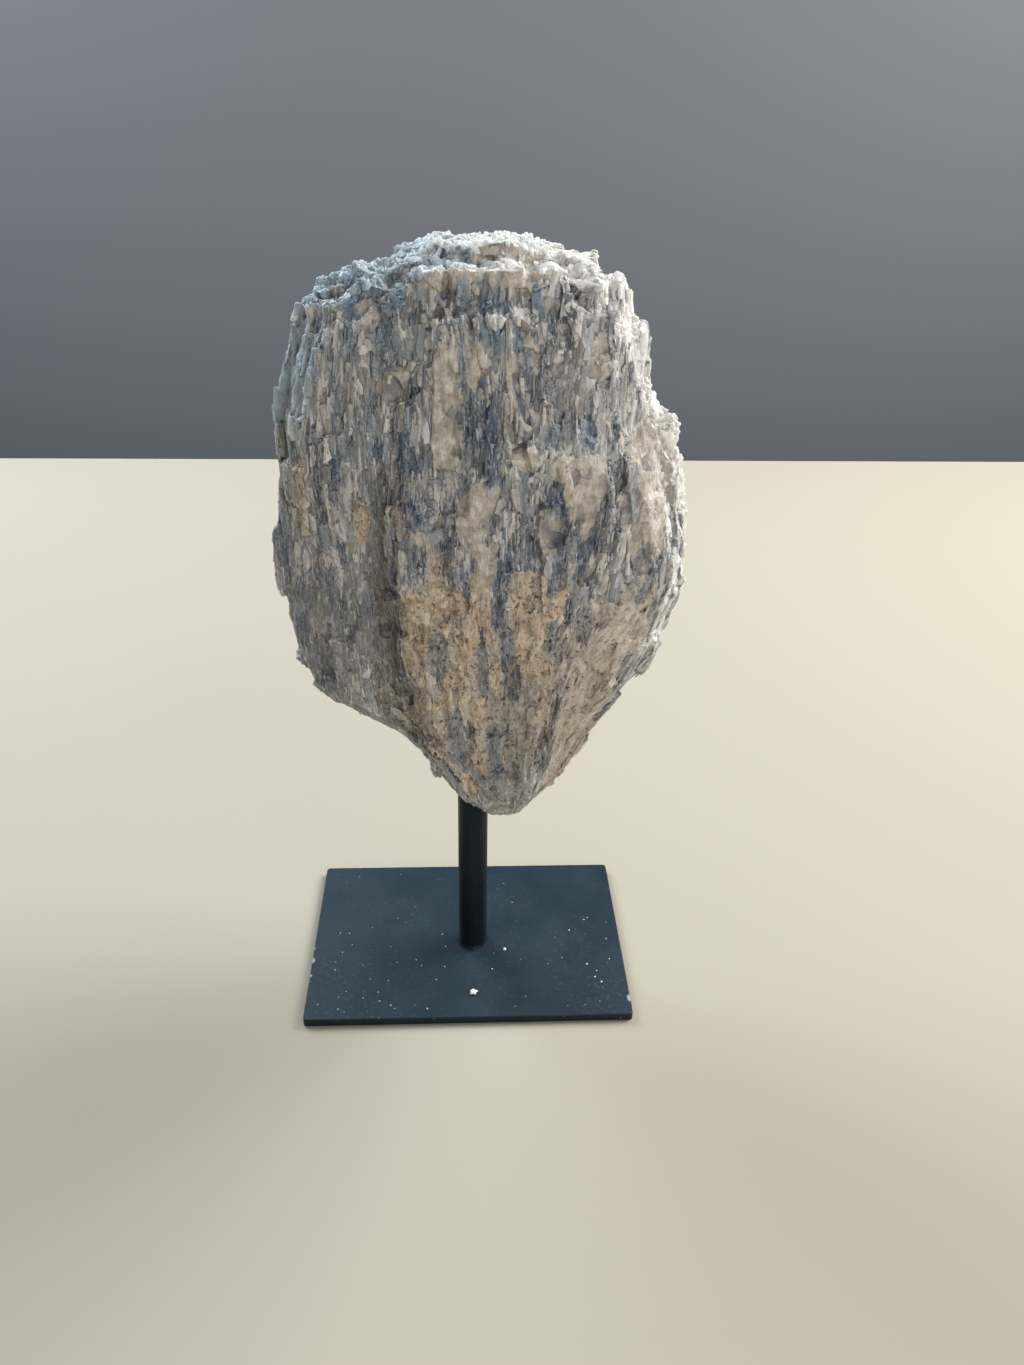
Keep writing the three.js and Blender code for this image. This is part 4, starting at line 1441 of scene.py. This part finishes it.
# %% The finish of the copies
blade_finish, wire, group, grain = stone_material("kyanite_blades")
wire.feed(group.inputs["Luck"], attribute(wire, "luck", "Vector"))
luck_fine, _, _, _ = wire.cells(wavy(wire, grain), BLADE_SIZES[2][0], 3)
wire.feed(group.inputs["Fine luck"], luck_fine[0])
group.inputs["Shade amount"].default_value = 0.0
for piece in (coarse, fine, fibres, crust, stained):
    piece.data.materials.clear()
    piece.data.materials.append(blade_finish)
print("stone finishes:", body_finish.name, "and", blade_finish.name)

# %% [markdown]
# ## Floor, backdrop and light
# The stand is shown on a plain pale floor before a plain grey backdrop. A soft light from high on
# the right, a little behind, whitens the crest and the right edge. A cooler one from high on the
# left turns the left edge blue. A weak warm one in front fills the shadows between the blades.


# %% Floor and backdrop
def plain_finish(name, colour, roughness):
    made = bpy.data.materials.new(name)
    made.use_nodes = True
    made.node_tree.nodes["Principled BSDF"].inputs["Base Color"].default_value = colour
    made.node_tree.nodes["Principled BSDF"].inputs["Roughness"].default_value = roughness
    return made


def flat_sheet(name, size, place, turn, finish):
    """A square sheet that belongs to the picture and not to the part."""
    bpy.ops.mesh.primitive_plane_add(size=size, location=place, rotation=turn)
    sheet = bpy.context.object
    sheet.name = name
    sheet.data.materials.append(finish)
    return sheet


bpy.context.scene.view_settings.view_transform = "Standard"
lying, standing = (0, 0, 0), (math.radians(90), 0, 0)
floor = flat_sheet("floor", 2.4, (0, -0.62, 0), lying, plain_finish("floor", srgb(163, 156, 141), 0.8))
grey_paper = plain_finish("backdrop", srgb(108, 112, 118), 0.9)
backdrop = flat_sheet("backdrop", 4, (0, 0.9, 0.6), standing, grey_paper)

world = bpy.data.worlds.new("studio")
bpy.context.scene.world = world
world.use_nodes = True
world.node_tree.nodes["Background"].inputs["Color"].default_value = (0.66, 0.7, 0.76, 1)
world.node_tree.nodes["Background"].inputs["Strength"].default_value = 0.3


# %% Lights
def soft_light(name, place, target, size, power, colour):
    """A square sheet of light at place that shines at target, both in millimetres."""
    bpy.ops.object.light_add(type="AREA", location=Vector(place) * MM)
    light = bpy.context.object
    light.name = name
    light.data.shape = "RECTANGLE"
    light.data.size, light.data.size_y = size
    light.data.energy = power
    light.data.color = colour
    toward = (Vector(target) - Vector(place)) * MM
    light.rotation_euler = toward.to_track_quat("-Z", "Y").to_euler()
    print(name, "gives", power, "watts")


soft_light("high_right", (820, 420, 900), (0, 0, 170), (0.8, 0.8), 24, (1.0, 0.99, 0.97))
soft_light("high_left", (-650, 650, 750), (0, 0, 170), (0.7, 0.7), 16, (0.84, 0.92, 1.0))
soft_light("front_fill", (400, -1000, 450), (0, 0, 140), (1.0, 1.0), 7.2, (1.0, 0.97, 0.93))

# %% [markdown]
# ## The satin black of the stand
# The plate and the bar come straight from the CAD model. They are painted satin black. The slate
# blue that such paint shows where it mirrors soft light is painted into the colour as a painted
# reflection, full on the top of the plate, weaker on its cut sides and weaker still on the bar.
# Stone dust lies on it as small white specks, most of them near the front corners, and the paint is
# chipped off at a few places along the edge. One node group makes the paint, the painted reflection,
# the film of dust and the specks, and each part chooses how much of them.

# %% The paint as a node group
# painted reflection: the slate blue that satin black shows where it mirrors soft light
PAINTED_SHEEN_TONES = [(0.3, srgb(17, 36, 47)), (0.7, srgb(21, 41, 52))]
PAINT_BLACK = (0.002, 0.003, 0.004, 1)
DUST_SPECK = srgb(186, 194, 198)
DUST_FILM = srgb(160, 166, 170)
BARE_EDGE = srgb(160, 170, 176)
SPECK_SIZES = [
    # spacing, smallest and largest, as shares of the spacing
    (1.6, 0.04, 0.13),
    (4.0, 0.03, 0.12),
]
PAINT_INPUTS = {
    "Place": "NodeSocketVector",
    "Dust": "NodeSocketFloat",
    "Chips": "NodeSocketFloat",
    "Sheen amount": "NodeSocketFloat",
}
paint, wire, given, result = new_shader_group("satin_black", PAINT_INPUTS, FINISH_OUTPUTS)
place = given["Place"]
smears_and_sheen = wire.noise(place, 0.05, 4.0, 0.6)
# painted reflection: the black is tinted slate blue as far as the sheen amount says
base = wire.tint(given["Sheen amount"], PAINT_BLACK, ramp(wire, smears_and_sheen, *PAINTED_SHEEN_TONES))
specks = 0.0
for seed, (spacing, least, most) in enumerate(SPECK_SIZES):
    luck, _, _, away = wire.cells(place, (spacing, spacing, spacing), 31 + seed, metric="EUCLIDEAN")
    reach = wire.add(least, wire.times(luck[1], most - least))
    there = wire.math("LESS_THAN", luck[0], wire.times(given["Dust"], 0.5))
    bright = wire.times(there, wire.add(0.3, wire.times(luck[2], 0.7)))
    specks = wire.math("MAXIMUM", specks, wire.times(wire.math("LESS_THAN", away, reach), bright))
base = wire.tint(wire.times(specks, 0.65), base, DUST_SPECK)
clouds = wire.step(wire.noise(place, 0.6, 4.0, 0.7), 0.52, 0.72, 0.0, 0.16)
film = wire.times(given["Dust"], clouds)
base = wire.tint(film, base, DUST_FILM)
base = wire.tint(given["Chips"], base, BARE_EDGE)
wire.feed(result["Color"], base)
dusty = wire.times(wire.math("MAXIMUM", specks, film), 0.4)
wire.feed(result["Roughness"], wire.add(wire.step(smears_and_sheen, 0.35, 0.65, 0.4, 0.5), dusty))
orange_peel = wire.times(wire.noise(place, 1.6, 2.0), 0.3)
marks = wire.less(wire.times(specks, 0.6), wire.times(given["Chips"], 0.6))
wire.feed(result["Height"], wire.add(orange_peel, marks))
print("paint group has", len(paint.nodes), "nodes")


# %% Paint on the plate and on the bar
def in_millimetres(wire):
    """The place on the piece, in millimetres."""
    return wire.vector("MULTIPLY", wire.node("ShaderNodeTexCoord").outputs["Object"], (1 / MM, 1 / MM, 1 / MM))


def painted(name, shine):
    made, wire = empty_material(name)
    place = in_millimetres(wire)
    group = wire.node("ShaderNodeGroup", {"Place": place}, node_tree=paint)
    finish_with(wire, group, 0.5, 0.0001, **{"Specular IOR Level": shine})
    return made, wire, group, place


plate_paint, wire, group, place = painted("black_plate", 0.25)
across, into, height = wire.split(place)
# painted reflection: full on the top of the plate, about half on its cut sides
wire.feed(group.inputs["Sheen amount"], wire.step(height, 2.7, 2.95, 0.45, 1.0))
near_corners = wire.add(
    wire.times(wire.step(across, -5, -40), wire.step(into, 5, -20)),
    wire.times(wire.step(across, 25, 50), wire.step(into, -5, -30)),
)
thin_dust = wire.step(wire.noise(place, 0.04, 3.0), 0.4, 0.65, 0.06, 0.3)
wire.feed(group.inputs["Dust"], wire.add(wire.times(near_corners, 0.35), thin_dust))

# %% Chips along the plate's edge
PLATE_TOP = 3.0
EDGE_CHIPS = [
    # x, y and reach, in millimetres
    (-54.9, -5.5, 0.5),
    (-54.7, -12, 0.9),
    (-54.7, -19.5, 0.5),
    (54.6, -32.8, 1.1),
    (-30, -39.9, 0.2),
]
chips = 0.0
for x, y, reach in EDGE_CHIPS:
    off = wire.vector("MULTIPLY", wire.vector("SUBTRACT", place, (x, y, PLATE_TOP)), (1.5, 0.7, 0.5))
    far = wire.node("ShaderNodeVectorMath", {0: off}, operation="LENGTH").outputs["Value"]
    far = wire.add(far, wire.times(wire.noise(place, 1.8, 4.0, 0.7), 2.4))
    chips = wire.math("MAXIMUM", chips, wire.step(far, reach + 1.3, reach + 0.9, 0.0, 0.85))
wire.feed(group.inputs["Chips"], chips)

post_paint, wire, group, place = painted("black_post", 0.2)
group.inputs["Dust"].default_value = 0.05
# painted reflection, weak on the bar
group.inputs["Sheen amount"].default_value = 0.25
wire.feed(group.inputs["Chips"], wire.step(wire.noise(place, 0.7, 3.0, 0.6), 0.74, 0.78, 0.0, 0.4))
for name, made in (("base_plate", plate_paint), ("post", post_paint)):
    frame["nodes"][name].data.materials.clear()
    frame["nodes"][name].data.materials.append(made)
    print(name, "is painted with", made.name)

# %% [markdown]
# ## Crumbs on the plate
# A rock like this sheds grains. A few lie on the plate, one of them as large as a peppercorn, and
# they throw small shadows that paint alone can't. Each is a small ball, pulled out of round by
# luck, and all are joined into one piece.

# %% Crumbs
CRUMBS = [
    # x, y and radius, in millimetres
    (1.4, -29.1, 1.25),
    (2.4, -28.6, 0.7),
    (13, -8, 0.6),
    (46, -25, 0.4),
    (-14, -36, 0.4),
    (44, -22.5, 0.35),
]
SMALL_CRUMBS = [
    # how many, x from and to, y from and to, radius from and to
    (26, (-52, -8), (-37, 5), (0.14, 0.3)),
    (18, (5, 52), (-37, 20), (0.14, 0.28)),
]
chance = random.Random(21)
crumb_places = list(CRUMBS)
for number, *ranges in SMALL_CRUMBS:
    for _ in range(number):
        crumb_places.append(tuple(chance.uniform(low, high) for low, high in ranges))
balls = []
for x, y, size in crumb_places:
    bpy.ops.object.select_all(action="DESELECT")
    bpy.ops.mesh.primitive_ico_sphere_add(subdivisions=2 if size > 0.5 else 1, radius=size * MM)
    ball = bpy.context.object
    for point in ball.data.vertices:
        point.co *= chance.uniform(0.75, 1.15)
        point.co.z = max(point.co.z * 0.7, -0.35 * size * MM)
        point.co += Vector((x, y, PLATE_TOP + 0.33 * size)) * MM
    balls.append(ball)
for ball in balls:
    ball.select_set(True)
bpy.context.view_layer.objects.active = balls[0]
bpy.ops.object.join()
crumbs = bpy.context.object
crumbs.name = "stone_crumbs"

# %% The finish of the crumbs
crumb_finish = bpy.data.materials.new("stone_crumbs")
crumb_finish.use_nodes = True
wire = Wiring(crumb_finish.node_tree)
shader = crumb_finish.node_tree.nodes["Principled BSDF"]
place = in_millimetres(wire)
tone = wire.add(wire.times(wire.noise(place, 0.05, 2.0), 0.6), wire.times(wire.noise(place, 1.2, 3.0), 0.4))
wire.feed(shader.inputs["Base Color"], ramp(wire, tone, (0.35, srgb(170, 162, 148)), (0.55, srgb(216, 222, 222))))
wire.feed(shader.inputs["Roughness"], wire.step(tone, 0.3, 0.7, 0.3, 0.6))
crumbs.data.materials.clear()
crumbs.data.materials.append(crumb_finish)
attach(crumbs, "root")
print("crumbs have", len(crumbs.data.polygons), "triangles")

# %% [markdown]
# ## The skin goes
# The skin has done its work and is deleted. The stone grew rougher, but the whole is no larger than before.

# %% Delete the skin
bpy.data.objects.remove(skin)
